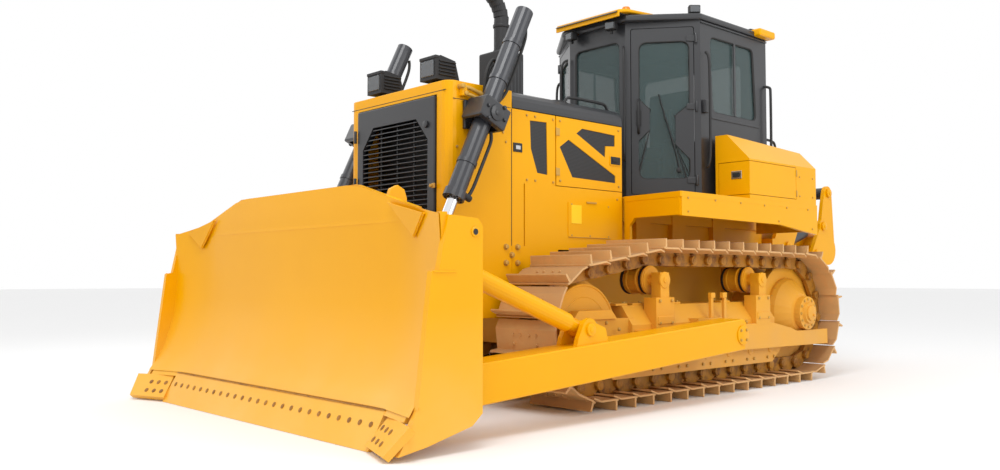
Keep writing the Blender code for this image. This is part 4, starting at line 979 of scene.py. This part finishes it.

# %% [markdown]
# ## Nose
# The guard is folded from thick plate, so it has a seam under its cap, big bumper bolts low
# on its sides, and a pair of pipes at its upper edge that feed the lift cylinders.

# %% Guard details
side_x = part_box("radiator_guard")[1].x
seams = [block(at(side_x - 0.004, -0.985, 2.243), at(side_x + 0.0015, -0.42, 2.247), 0.0),
         block(at(side_x - 0.004, -0.414, 1.20), at(side_x + 0.0015, -0.409, 2.24), 0.0)]
keep_pair(joined(*seams), "guard_seams", "chassis", black)
front_seam = block(at(-0.60, -1.0315, 2.304), at(0.60, -1.026, 2.308), 0.0)
keep(front_seam, "guard_front_seam", "chassis", black)
spots = []
for y, z in ((-0.47, 1.19), (-0.35, 1.19), (-0.47, 1.07), (-0.35, 1.07), (-0.41, 1.13)):
    spots.append((at(side_x + 0.001, y, z), (1, 0, 0)))
keep_pair(bolts(spots, 0.024), "bumper_bolts", "chassis", bolt_steel)
spots = [(at(side_x + 0.001, y, z), (1, 0, 0)) for y, z in
         ((-0.50, 2.05), (-0.50, 2.19), (-0.47, 1.98), (-0.95, 1.30), (-0.95, 1.60), (-0.95, 1.90))]
spots += [(at(side_x + 0.001, y, z), (1, 0, 0)) for y, z in ((-0.25, 2.21), (0.04, 2.21),
          (-0.25, 1.71), (0.04, 1.71), (-0.16, 1.71), (-0.16, 2.21))]
spots += [(at(side_x + 0.001, y, z), (1, 0, 0)) for y in (0.12, 0.84) for z in (1.73, 2.21)]
spots += [(at(side_x + 0.001, y, z), (1, 0, 0)) for y, z in ((0.25, 1.30), (0.25, 1.55),
          (0.70, 1.30), (0.70, 1.55), (0.47, 1.30), (0.82, 1.24), (0.82, 1.62))]
keep_pair(bolts(spots, 0.0105), "side_bolts", "chassis", bolt_steel)
badge = block(at(side_x - 0.002, -0.395, 1.915), at(side_x + 0.006, -0.300, 1.985), 0.004)
keep_pair(badge, "connector_plate", "chassis", black)
socket = block(at(side_x + 0.005, -0.372, 1.935), at(side_x + 0.010, -0.323, 1.965), 0.002)
keep_pair(socket, "connector_face", "chassis", silver)
print("guard done")

# %% [markdown]
# Two steel pipes leave the guard's upper rear corner, and a rubber hose runs from each to
# the lift cylinder's swivel. Their ends are crimped sleeves on hexagon nuts.

# %% Feed pipes on the guard
def pipe_run(points, radius):
    tube = bent_tube(points, radius)
    ends = []
    for first, second in ((points[0], points[1]), (points[-1], points[-2])):
        way = (Vector(second) - Vector(first)).normalized()
        ends.append(bar(first, Vector(first) + way * 0.035, radius * 1.45, 6, radius * 0.2))
        ends.append(bar(Vector(first) + way * 0.035, Vector(first) + way * 0.085, radius * 1.25, 12,
                        radius * 0.15))
    return joined(tube, *ends)


feeds = [pipe_run([at(0.60, -0.93, 2.335), at(0.655, -0.93, 2.335), at(0.665, -0.86, 2.33),
                   at(0.67, -0.76, 2.30), at(0.69, -0.71, 2.26)], 0.014),
         pipe_run([at(0.60, -0.90, 2.285), at(0.665, -0.90, 2.285), at(0.675, -0.82, 2.27),
                   at(0.69, -0.73, 2.23)], 0.014)]
clamp = block(at(0.628, -0.93, 2.265), at(0.672, -0.885, 2.350), 0.006)
keep_pair(joined(*feeds), "feed_pipes", "chassis", bolt_steel)
keep_pair(clamp, "feed_clamp", "chassis", yellow)

# %% [markdown]
# ## Headlamps
# Each lamp sits in a boxy moulding with cooling ribs on its sides and a clear lens in front.

# %% Lamp lenses and ribs
lamp_parts, lenses = [], []
for x in (-0.355, 0.335):
    lens = block(at(x - 0.072, -0.995, 2.445), at(x + 0.072, -0.982, 2.562), 0.010, 3)
    lenses.append(lens)
    lamp_parts.append(block(at(x - 0.098, -0.992, 2.572), at(x + 0.098, -0.955, 2.596), 0.005))
    for n in range(5):
        for side in (-1, 1):
            edge = x + side * 0.098
            z = 2.452 + 0.025 * n
            lamp_parts.append(block(at(edge - 0.010, -0.955, z), at(edge + 0.010, -0.80, z + 0.010),
                                    0.002, 1))
    lamp_parts.append(bar(at(x, -0.87, 2.385), at(x, -0.87, 2.43), 0.035, 16, 0.006))
keep(joined(*lamp_parts), "lamp_ribs", "chassis", black)
keep(joined(*lenses), "lamp_lenses", "chassis", lamp_glass)
print("lamps done")

# %% [markdown]
# ## Engine side panels
# The dark fields in the doors are perforated sheet, sunk a little below the painted skin.
# Each is a thin plate of the pocket's own outline, set just inside it.

# %% Perforated fields
def sunk_sheet(corners, x):
    return plate([at(x - 0.0082, y, z) for y, z in corners], (1, 0, 0), 0.0035, 0.0)


panel_x = 0.630
front_field = sunk_sheet([(-0.213, 2.173), (-0.205, 1.955), (-0.135, 1.774), (-0.024, 1.767),
                          (-0.032, 2.178)], panel_x)
keep_pair(front_field, "front_field", "chassis", mesh_sheet)
upper_field = [(0.317, 2.130), (0.668, 1.967), (0.673, 2.062), (0.793, 2.072), (0.793, 2.163),
               (0.385, 2.176)]
lower_field = [(0.120, 2.000), (0.267, 1.770), (0.798, 1.760), (0.798, 1.819), (0.222, 2.068)]
for side, name in ((1, "left"), (-1, "right")):
    fields = joined(sunk_sheet(upper_field, panel_x), sunk_sheet(lower_field, panel_x))
    if side < 0:
        twin = other_side(fields)
        bpy.data.objects.remove(fields)
        fields = twin
    keep(fields, "engine_fields_" + name, "engine_door_" + name, mesh_sheet)
print("fields done")

# %% [markdown]
# Each door hangs on two strap hinges at its front edge and shuts with a paddle latch that
# sits in a shallow dish.

# %% Door hinges and latches
for side, name in ((1, "left"), (-1, "right")):
    hinge_parts, latch_parts = [], []
    for z in (1.80, 2.12):
        hinge_parts.append(bar(at(0.636, 0.072, z - 0.035), at(0.636, 0.072, z + 0.035), 0.0036, 12,
                               0.001))
        hinge_parts.append(block(at(0.630, 0.076, z - 0.03), at(0.636, 0.115, z + 0.03), 0.002))
    latch_parts.append(block(at(0.633, 0.735, 1.915), at(0.641, 0.855, 1.98), 0.005))
    latch_parts.append(block(at(0.640, 0.750, 1.935), at(0.648, 0.815, 1.965), 0.004))
    pair = [joined(*hinge_parts), joined(*latch_parts)]
    if side < 0:
        twins = [other_side(piece) for piece in pair]
        for piece in pair:
            bpy.data.objects.remove(piece)
        pair = twins
    keep(pair[0], "engine_door_hinges_" + name, "engine_door_" + name, bolt_steel)
    keep(pair[1], "engine_door_latch_" + name, "engine_door_" + name, black)
flap_parts = [block(at(0.635, 0.205 + 0.22, 1.565), at(0.645, 0.205 + 0.34, 1.580), 0.003)]
flap_parts.append(block(at(0.633, 0.212, 1.283), at(0.6375, 0.728, 1.287), 0.0))
keep_pair(joined(*flap_parts), "flap_lip", "chassis", bolt_steel)
plate_blank = block(at(0.633, 0.245, 1.395), at(0.6385, 0.365, 1.545), 0.001)
label_yellow = paint("label_plate", (0.95, 0.62, 0.01), (0.95, 0.58, 0.01), 0.3)
keep_pair(plate_blank, "blank_plate", "chassis", label_yellow)

# %% [markdown]
# ## On the hood
# Behind the exhaust stands the round cap of the air pre-cleaner, and a low grab rail runs
# along each side of the hood towards the cab.

# %% Pre-cleaner, rails and exhaust trim
select_only()
bpy.ops.mesh.primitive_uv_sphere_add(segments=28, ring_count=14, radius=0.16,
                                     location=at(0.0, 0.72, 2.46))
dome = bpy.context.object
dome.scale.z = 0.55
apply_place(dome)
bpy.ops.object.shade_smooth()
neck = bar(at(0.0, 0.72, 2.38), at(0.0, 0.72, 2.47), 0.10, 28, 0.01)
skirt = bar(at(0.0, 0.72, 2.45), at(0.0, 0.72, 2.475), 0.168, 32, 0.008)
keep(joined(dome, neck, skirt), "pre_cleaner", "chassis", black)
rail = bent_tube([at(0.50, 0.30, 2.375), at(0.50, 0.32, 2.44), at(0.50, 0.40, 2.455),
                  at(0.50, 0.60, 2.455), at(0.50, 0.78, 2.455), at(0.50, 0.84, 2.44),
                  at(0.50, 0.86, 2.375)], 0.013)
keep_pair(rail, "hood_rails", "chassis", black)
pipe_x = 0.07
trim = [bar(at(pipe_x, 0, z), at(pipe_x, 0, z + 0.028), 0.070, 24, 0.005) for z in (2.83, 3.05)]
keep(joined(*trim), "exhaust_clamps", "chassis", black)
slots = [block(at(pipe_x - 0.142, -0.095 + 0.038 * n, 2.46), at(pipe_x + 0.142,
         -0.080 + 0.038 * n, 2.76), 0.002, 1) for n in range(6)]
keep(joined(*slots), "exhaust_shield_ribs", "chassis", charcoal)
print("hood done")

# %% [markdown]
# ## Lift cylinders
# A hard line runs down the back of each barrel to its lower port, held by band clamps. The
# head is fixed by a ring of bolts, and two hoses loop from the guard up to the swivel.

# %% Lines and clamps on the barrels
PIVOT = at(0.75, -0.786, 2.13)
DOWN = Vector((0, -0.430, -0.903)).normalized()
BACK = Vector((0, 0.903, -0.430)).normalized()


def on_barrel(distance, back=0.0, side=0.0):
    return PIVOT + DOWN * distance + BACK * back + Vector((side, 0, 0))


def band(distance):
    """An open ring round the barrel, so that the rod still slides inside."""
    select_only()
    bpy.ops.mesh.primitive_cylinder_add(vertices=28, radius=0.0735, depth=0.032,
                                        end_fill_type="NOTHING")
    ring = bpy.context.object
    ring.rotation_mode = "QUATERNION"
    ring.rotation_quaternion = DOWN.to_track_quat("Z", "Y")
    ring.location = on_barrel(distance)
    apply_place(ring)
    wall = ring.modifiers.new("wall", "SOLIDIFY")
    wall.thickness = 0.012
    wall.offset = -1.0
    bpy.ops.object.modifier_apply(modifier="wall")
    bpy.ops.object.shade_smooth_by_angle(angle=math.radians(35))
    return ring


for side, name in ((1, "left"), (-1, "right")):
    line = bent_tube([on_barrel(0.10, 0.078, 0.03), on_barrel(0.14, 0.112, 0.03),
                      on_barrel(0.24, 0.112, 0.03), on_barrel(0.40, 0.110, 0.03),
                      on_barrel(0.58, 0.108, 0.03), on_barrel(0.63, 0.090, 0.03)], 0.013)
    block_low = bar(on_barrel(0.635, 0.05, 0.03), on_barrel(0.635, 0.118, 0.03), 0.024, 12, 0.004)
    bands = [band(distance) for distance in (0.40, -0.30, -0.62)]
    bands.append(bar(on_barrel(-0.935), on_barrel(-0.925), 0.052, 20, 0.004))
    head_bolts = []
    for n in range(8):
        around = 2 * math.pi * n / 8 + 0.3
        out = BACK * math.cos(around) + Vector((1, 0, 0)) * math.sin(around)
        head_bolts.append((PIVOT + DOWN * 0.688 + out * 0.062, DOWN))
    upper = bent_tube([on_barrel(-0.16, 0.078, -0.02), on_barrel(-0.24, 0.118, -0.02),
                       on_barrel(-0.40, 0.122, -0.02), on_barrel(-0.66, 0.118, -0.02),
                       on_barrel(-0.80, 0.105, -0.02), on_barrel(-0.84, 0.070, -0.02)], 0.013)
    group = [joined(line, block_low, upper), joined(*bands), bolts(head_bolts, 0.010)]
    if side < 0:
        twins = [other_side(piece) for piece in group]
        for piece in group:
            bpy.data.objects.remove(piece)
        group = twins
    body = "lift_barrel_" + name
    keep(group[0], "barrel_lines_" + name, body, rubber)
    keep(group[1], "barrel_bands_" + name, body, cylinder_grey)
    keep(group[2], "barrel_head_bolts_" + name, body, black)
print("barrels done")

# %% [markdown]
# The yoke is a trunnion block in two halves, bolted together round the barrel's trunnions,
# with a grease cap outside.

# %% Yoke details
yoke_parts = [bar(at(0.872, -0.786, 2.13), at(0.886, -0.786, 2.13), 0.060, 24, 0.006),
              bar(at(0.884, -0.786, 2.13), at(0.892, -0.786, 2.13), 0.022, 10, 0.003)]
for dy, dz in ((-0.075, 0.055), (0.075, 0.055), (-0.075, -0.055), (0.075, -0.055)):
    yoke_parts.append(bolts([(at(0.876, -0.786 + dy, 2.13 + dz * 0.8), (1, 0, 0))], 0.017))
keep_pair(joined(*yoke_parts), "yoke_caps", "chassis", charcoal)
loops = []
for n in range(2):
    loops.append(bent_tube([at(0.64 - 0.02 * n, -0.60, 2.30), at(0.645, -0.56, 2.42 + 0.04 * n),
                            at(0.648, -0.60, 2.56 + 0.05 * n), at(0.648, -0.66 - 0.02 * n, 2.50),
                            at(0.645, -0.70, 2.34), at(0.642, -0.71, 2.22)], 0.013))
keep_pair(joined(*loops), "yoke_hoses", "chassis", rubber)
print("yokes done")

# %% [markdown]
# ## Cab
# Every window sits in a rubber seal. A seal is a round bead that follows the window's own
# outline, so its corner points are found from the glass solid: the loop of vertices on its
# outer face, in order round its middle.

# %% Window seals
def outline_of(node, out):
    """Corners of a glass solid's outer face, in order."""
    out = Vector(out).normalized()
    points = [v.co.copy() for v in nodes[node].data.vertices]
    reach = max(p.dot(out) for p in points)
    face = []
    for p in points:
        if p.dot(out) > reach - 0.002 and all((p - q).length > 0.001 for q in face):
            face.append(p)
    middle = sum(face, Vector()) / len(face)
    across = out.cross(Vector((0, 0, 1))).normalized()
    up = across.cross(out)
    return sorted(face, key=lambda p: math.atan2((p - middle).dot(up), (p - middle).dot(across)))


SEAL_RADIUS = 0.011


def seal(node, out):
    ring = outline_of(node, out)
    curve = bpy.data.curves.new("seal", "CURVE")
    curve.dimensions = "3D"
    curve.bevel_depth = SEAL_RADIUS
    curve.bevel_resolution = 2
    spline = curve.splines.new("POLY")
    spline.points.add(len(ring) - 1)
    for knot, point in zip(spline.points, ring):
        knot.co = (*(point + Vector(out).normalized() * 0.008), 1.0)
    spline.use_cyclic_u = True
    obj = bpy.data.objects.new("seal", curve)
    bpy.context.scene.collection.objects.link(obj)
    select_only(obj)
    bpy.ops.object.convert(target="MESH")
    bpy.ops.object.shade_smooth()
    return bpy.context.object


OUT = Vector((0.6119, -0.7909, 0))
fixed_seals = [seal("windshield", (0, -1, 0)), seal("rear_glass", (0, 1, 0)),
               seal("side_glass_left", (1, 0, 0)), seal("side_glass_right", (-1, 0, 0))]
keep(joined(*fixed_seals), "window_seals", "chassis", rubber)
for side, name in ((1, "left"), (-1, "right")):
    door_seal = seal("door_glass_" + name, (OUT.x * side, OUT.y, 0))
    keep(door_seal, "door_seal_" + name, "cab_door_" + name, rubber)
print("seals done")

# %% [markdown]
# The door hangs on three strap hinges at its rear edge. A helper places things on the
# sloping face of the door: a distance forwards from the hinge edge, and a height.

# %% Door fittings
def on_door(ahead_m, z, out_m=0.0):
    corner = at(0.875, 1.70, z)
    forwards = Vector((-0.7909, -0.6119, 0))
    return corner + forwards * ahead_m + OUT * out_m


for side, name in ((1, "left"), (-1, "right")):
    metal, dark = [], []
    for z in (1.83, 2.50, 3.12):
        metal.append(bar(on_door(0.040, z - 0.045, 0.010), on_door(0.040, z + 0.045, 0.010), 0.013,
                         12, 0.002))
        strap = [on_door(0.045, z - 0.03, 0.0), on_door(0.125, z - 0.022, 0.0),
                 on_door(0.125, z + 0.022, 0.0), on_door(0.045, z + 0.03, 0.0)]
        metal.append(plate(strap, OUT, 0.010, 0.002))
    dark.append(bent_tube([on_door(0.555, 2.27, 0.0), on_door(0.556, 2.28, 0.055),
                           on_door(0.556, 2.42, 0.060), on_door(0.556, 2.56, 0.055),
                           on_door(0.555, 2.57, 0.0)], 0.012))
    dark.append(plate([on_door(0.53, 2.34, -0.002), on_door(0.575, 2.34, -0.002),
                       on_door(0.575, 2.48, -0.002), on_door(0.53, 2.48, -0.002)], OUT, 0.012,
                      0.004))
    wiper_arm = bent_tube([on_door(0.20, 1.93, 0.004), on_door(0.21, 2.02, 0.020),
                           on_door(0.28, 2.28, 0.018), on_door(0.33, 2.44, 0.010)], 0.006)
    blade_rubber = bent_tube([on_door(0.235, 2.14, 0.002), on_door(0.30, 2.34, 0.002),
                              on_door(0.375, 2.62, 0.002)], 0.007)
    motor = bar(on_door(0.20, 1.925, -0.004), on_door(0.20, 1.925, 0.022), 0.022, 16, 0.004)
    pieces = [joined(*metal), joined(*dark, wiper_arm, blade_rubber, motor)]
    if side < 0:
        twins = [other_side(piece) for piece in pieces]
        for piece in pieces:
            bpy.data.objects.remove(piece)
        pieces = twins
    keep(pieces[0], "door_hinges_" + name, "cab_door_" + name, charcoal)
    keep(pieces[1], "door_fittings_" + name, "cab_door_" + name, black)
print("doors done")

# %% [markdown]
# Round the cab: grab rails beside each door, a drip rail under the
# roof, a mullion in each side window, and a small lamp on every corner of the roof.

# %% Rails and trim
rails = [bent_tube([at(0.905, 1.735, 1.95), at(0.945, 1.735, 1.96), at(0.950, 1.735, 2.20),
                    at(0.950, 1.735, 2.75), at(0.945, 1.735, 2.98), at(0.905, 1.735, 2.99)], 0.013),
         bent_tube([at(0.880, 2.775, 1.98), at(0.925, 2.790, 1.99), at(0.930, 2.790, 2.30),
                    at(0.930, 2.790, 2.78), at(0.925, 2.790, 2.82), at(0.880, 2.775, 2.83)], 0.013),
         bent_tube([at(0.345, 1.262, 2.02), at(0.385, 1.215, 2.03), at(0.390, 1.210, 2.25),
                    at(0.390, 1.210, 2.85), at(0.385, 1.215, 3.05), at(0.345, 1.262, 3.06)], 0.012)]
keep_pair(joined(*rails), "grab_rails", "chassis", black)
mullion = block(at(0.868, 2.235, 2.47), at(0.879, 2.262, 3.165), 0.003)
box_by_hinge = block(at(0.874, 1.715, 2.44), at(0.915, 1.775, 2.56), 0.008)
drip = [block(at(0.872, 1.70, 3.262), at(0.889, 2.80, 3.276), 0.003)]
sill = block(at(0.872, 1.86, 2.405), at(0.884, 2.66, 2.425), 0.003)
keep_pair(joined(mullion, box_by_hinge, sill, *drip), "cab_trim", "chassis", charcoal)
rear_ribs = [block(at(-0.70, 2.798, z), at(0.70, 2.808, z + 0.012), 0.003) for z in (2.28, 3.18)]
keep(joined(*rear_ribs), "cab_rear_trim", "chassis", charcoal)
print("cab trim done")

# %% [markdown]
# The roof has a yellow visor over the windshield and a yellow cap at its rear corners, six
# work lamps on short brackets, and an amber beacon.

# %% Roof fittings
visor = plate([at(-0.385, 1.150, 3.352), at(0.385, 1.150, 3.352), at(0.43, 1.22, 3.352),
               at(0.43, 1.60, 3.352), at(-0.43, 1.60, 3.352), at(-0.43, 1.22, 3.352)], (0, 0, 1),
              0.030, 0.009)
for vertex in visor.data.vertices:
    vertex.co.z += 0.035 * max(0.0, min(1.0, (vertex.co.y - at(0, 1.15, 0).y) / 0.3))
visor_front = block(at(-0.39, 1.142, 3.315), at(0.39, 1.160, 3.368), 0.006)
caps = [block(at(side * 0.905 - 0.05, 2.56, 3.290), at(side * 0.917 + 0.05, 2.835, 3.362),
              0.018, 3) for side in (-1, 1)]
keep(joined(visor, visor_front, *caps), "roof_visor", "chassis", yellow)


def work_lamp(place, out):
    """A round-cornered lamp on a fork, facing out; returns the case and the lens."""
    case = block((-0.052, -0.042, -0.038), (0.052, 0.026, 0.038), 0.010, 3)
    fork = block((-0.010, -0.014, -0.066), (0.010, 0.014, -0.034), 0.003)
    fins = [block((-0.045, 0.024, -0.028 + 0.015 * n), (0.045, 0.036, -0.022 + 0.015 * n), 0.001, 1)
            for n in range(4)]
    lens = block((-0.042, -0.046, -0.028), (0.042, -0.041, 0.028), 0.002)
    spin = Matrix.Rotation(math.atan2(out[0], -out[1]), 4, "Z")
    whole = joined(case, fork, *fins)
    for piece in (whole, lens):
        piece.data.transform(Matrix.Translation(place) @ spin)
    return whole, lens


cases, faces = [], []
for place, out in ((at(0.246, 1.215, 3.262), (0.2, -1)), (at(-0.246, 1.215, 3.262), (-0.2, -1)),
                   (at(0.80, 1.715, 3.395), (0.75, -0.65)), (at(-0.80, 1.715, 3.395), (-0.75, -0.65)),
                   (at(0.70, 2.78, 3.395), (0.3, 1)), (at(-0.70, 2.78, 3.395), (-0.3, 1))):
    whole, lens = work_lamp(place, out)
    cases.append(whole)
    faces.append(lens)
keep(joined(*cases), "work_lamps", "chassis", black)
keep(joined(*faces), "work_lamp_lenses", "chassis", lamp_glass)
beacon_base = bar(at(0.30, 1.36, 3.372), at(0.30, 1.36, 3.402), 0.055, 24, 0.006)
beacon = bar(at(0.30, 1.36, 3.400), at(0.30, 1.36, 3.462), 0.045, 24, 0.016, 0.036)
keep(beacon_base, "beacon_base", "chassis", black)
keep(beacon, "beacon", "chassis", amber)
eyes = []
for x, y in ((0.72, 1.95), (0.72, 2.55)):
    eyes.append(bent_tube([at(x, y - 0.04, 3.342), at(x, y - 0.04, 3.385), at(x, y, 3.40),
                           at(x, y + 0.04, 3.385), at(x, y + 0.04, 3.342)], 0.010))
keep_pair(joined(*eyes), "roof_eyes", "chassis", black)
print("roof done")

# %% [markdown]
# ## Inside the cab
# Through the glass you see the seat, two consoles with levers and the instrument hood. The
# seat's cushions are soft: rounded blocks smoothed by subdivision, drawn in at the edges.

# %% Seat and controls
def cushion(low, high):
    soft = block(low, high, 0.030, 2)
    select_only(soft)
    step = soft.modifiers.new("soft", "SUBSURF")
    step.levels = step.render_levels = 2
    bpy.ops.object.modifier_apply(modifier=step.name)
    bpy.ops.object.shade_smooth()
    return soft


cushions = joined(cushion(at(-0.255, 1.925, 2.11), at(0.255, 2.41, 2.238)),
                  cushion(at(-0.245, 2.37, 2.20), at(0.245, 2.495, 2.845)),
                  cushion(at(-0.10, 2.39, 2.60), at(0.10, 2.46, 2.848)))
seat_cloth = paint("seat_cloth", (0.030, 0.031, 0.034), (0.045, 0.046, 0.050), 0.85, peel=0.5)
keep(cushions, "seat_cushions", "chassis", seat_cloth, "operator_seat")
mount = [block(at(-0.19, 1.99, 1.702), at(0.19, 2.37, 1.80), 0.02),
         block(at(-0.15, 2.03, 1.78), at(0.15, 2.33, 2.115), 0.03)]
for side in (-1, 1):
    mount.append(block(at(side * 0.40 - 0.085, 1.85, 1.705), at(side * 0.40 + 0.085, 2.45, 2.28),
                       0.03))
    mount.append(bent_tube([at(side * 0.40, 1.95, 2.27), at(side * 0.40, 1.92, 2.40),
                            at(side * 0.39, 1.90, 2.48)], 0.012))
    mount.append(bar(at(side * 0.39, 1.90, 2.46), at(side * 0.385, 1.885, 2.56), 0.026, 14, 0.010))
mount.append(block(at(-0.24, 1.372, 2.10), at(0.24, 1.56, 2.22), 0.03))
keep(joined(*mount), "cab_fittings", "chassis", black)
print("cab inside done")

# %% [markdown]
# ## Fenders and boxes
# The deck has rubber treads where the operator steps, a row of bolts along its skirt, and
# the tool box has a sunk paddle latch and hinges.

# %% Deck and box details
treads = [block(at(0.72, 0.98 + 0.10 * n, 1.650), at(1.22, 1.04 + 0.10 * n, 1.656), 0.002)
          for n in range(7)]
keep_pair(joined(*treads), "deck_treads", "chassis", rubber)
skirt_bolts = [(at(1.285, y, z), (1, 0, 0)) for y, z in ((0.92, 1.60), (1.30, 1.60), (1.68, 1.60),
               (2.06, 1.60), (2.44, 1.60), (2.82, 1.60), (0.92, 1.49), (2.30, 1.47), (2.90, 1.42))]
keep_pair(bolts(skirt_bolts, 0.010), "skirt_bolts", "chassis", bolt_steel)
box_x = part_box("side_box_left")[1].x
box_bolts = [(at(box_x, y, z), (1, 0, 0)) for y in (2.68, 2.92) for z in (1.72, 1.90)]
keep_pair(bolts(box_bolts, 0.009), "box_bolts", "chassis", bolt_steel)
latch_dish = [block(at(1.10, 1.824, 1.83), at(1.205, 1.832, 1.90), 0.003)]
latch_grip = [block(at(1.115, 1.818, 1.845), at(1.19, 1.826, 1.885), 0.003)]
keep(joined(*latch_dish), "box_latch_dish", "side_box_door", silver)
keep(joined(*latch_grip), "box_latch_grip", "side_box_door", black)
box_hinges = [bar(at(1.286, 2.622, z - 0.03), at(1.286, 2.622, z + 0.03), 0.007, 12, 0.002)
              for z in (1.74, 1.93)]
keep(joined(*box_hinges), "box_hinges", "side_box_door", bolt_steel)
print("decks done")

# %% [markdown]
# A grab handle leads up to the deck behind the track, and the tank at the back has
# a filler cap, a pair of tail lamps and two straps.

# %% Tank details
filler = [bar(at(0.52, 3.06, 2.205), at(0.52, 3.06, 2.245), 0.062, 24, 0.008),
          bar(at(0.52, 3.06, 2.240), at(0.52, 3.06, 2.265), 0.040, 8, 0.006)]
keep(joined(*filler), "filler_cap", "chassis", black)
straps = [block(at(x - 0.03, 3.336, 1.70), at(x + 0.03, 3.345, 2.17), 0.003) for x in (-0.42, 0.42)]
straps.append(block(at(-0.20, 3.337, 1.80), at(0.20, 3.344, 2.08), 0.003))
keep(joined(*straps), "tank_straps", "chassis", yellow)
tank_bolts = [(at(x, 3.344, z), (0, 1, 0)) for x in (-0.18, 0.18, -0.42, 0.42)
              for z in (1.82, 2.06)]
keep(bolts(tank_bolts, 0.011), "tank_bolts", "chassis", bolt_steel)
tails, tail_cases = [], []
for x in (-0.72, 0.72):
    tail_cases.append(block(at(x - 0.075, 3.338, 1.93), at(x + 0.075, 3.362, 2.03), 0.006))
    tails.append(block(at(x - 0.062, 3.360, 1.942), at(x + 0.062, 3.368, 2.018), 0.004))
keep(joined(*tail_cases), "tail_lamp_cases", "chassis", black)
keep(joined(*tails), "tail_lamps", "chassis", red_lens)
tank_rail = bent_tube([at(0.70, 2.90, 2.20), at(0.70, 2.90, 2.33), at(0.70, 2.98, 2.36),
                       at(0.70, 3.18, 2.36), at(0.70, 3.26, 2.33), at(0.70, 3.26, 2.20)], 0.013)
keep_pair(tank_rail, "tank_rails", "chassis", black)
print("tank done")

# %% [markdown]
# ## Ripper
# The ripper hangs on a parallelogram of links and cylinders. Headed pins show on every
# joint, hoses run to the cylinders, and the shank has a cast tip and a shin guard.

# %% Ripper pins
def pin_heads(spots, radius):
    parts = []
    for x, place in spots:
        parts.append(bar(at(x - 0.012, *place), at(x + 0.012, *place), radius, 18, 0.005))
        parts.append(bar(at(x + 0.010, *place), at(x + 0.018, *place), radius * 0.45, 8, 0.002))
    return joined(*parts)


bracket_pins = pin_heads([(0.672, (3.42, 0.93)), (0.672, (3.70, 1.615)), (0.672, (3.54, 1.29))],
                         0.048)
keep_pair(bracket_pins, "bracket_pins", "chassis", yellow)
beam_pins = pin_heads([(0.652, (4.18, 1.22)), (0.652, (4.46, 1.905)), (0.652, (4.34, 1.53))], 0.048)
keep_pair(beam_pins, "beam_pins", "ripper_beam", yellow)
bracket_bolts = [(at(x, 3.300, z), (0, 1, 0)) for x in (-0.24, -0.08, 0.08, 0.24)
                 for z in (0.70, 1.30)]
keep(bolts(bracket_bolts, 0.022), "bracket_bolts", "chassis", bolt_steel)
print("pins done")

# %% [markdown]
# The shank is a thick bar that curves forwards to a replaceable point. The point is a
# wedge; the shin guard is a strip on the front edge.

# %% Shank tip and beam collar
tip = plate([at(-0.046, 4.08, 0.340), at(-0.046, 4.26, 0.352), at(-0.046, 4.30, 0.430),
             at(-0.046, 4.14, 0.392)], (1, 0, 0), 0.092, 0.008)
guard = plate([at(-0.044, 4.20, 0.47), at(-0.044, 4.30, 0.50), at(-0.044, 4.40, 0.72),
               at(-0.044, 4.385, 0.72), at(-0.044, 4.29, 0.515)], (1, 0, 0), 0.088, 0.004)
keep(joined(tip, guard), "shank_tip", "ripper_beam", link_steel)
shank_pin = bar(at(-0.165, 4.47, 1.42), at(0.165, 4.47, 1.42), 0.030, 16, 0.005)
collar = [block(at(x - 0.012, 4.33, 1.05), at(x + 0.012, 4.64, 1.47), 0.006)
          for x in (-0.140, 0.140)]
keep(joined(shank_pin, *collar), "shank_collar", "ripper_beam", yellow)
hoses = []
for x in (0.30, 0.34):
    hoses.append(bent_tube([at(x, 3.30, 1.42), at(x, 3.38, 1.46), at(x + 0.02, 3.44, 1.62),
                            at(x + 0.05, 3.52, 1.78), at(x + 0.10, 3.62, 1.80)], 0.014))
keep_pair(joined(*hoses), "ripper_hoses", "chassis", rubber)
print("ripper done")

# %% [markdown]
# ## Underneath
# The belly is closed by bolted guards that come off for service, so it shows seams and
# rows of bolts, with a drain cover in the middle.

# %% Belly guards
belly_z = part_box("main_frame")[0].z
covers = [block(at(-0.46, y, belly_z - 0.012), at(0.46, y + 0.62, belly_z + 0.004), 0.004)
          for y in (0.02, 0.68, 1.34)]
covers.append(bar(at(0, 2.16, belly_z - 0.014), at(0, 2.16, belly_z + 0.004), 0.12, 28, 0.004))
keep(joined(*covers), "belly_guards", "chassis", yellow_low)
belly_bolts = [(at(x, y, belly_z - 0.010), (0, 0, -1)) for x in (-0.42, 0.42)
               for y in (0.07, 0.33, 0.59, 0.73, 0.99, 1.25, 1.39, 1.65, 1.91)]
keep(bolts(belly_bolts, 0.018), "belly_bolts", "chassis", bolt_steel)
print("belly done")
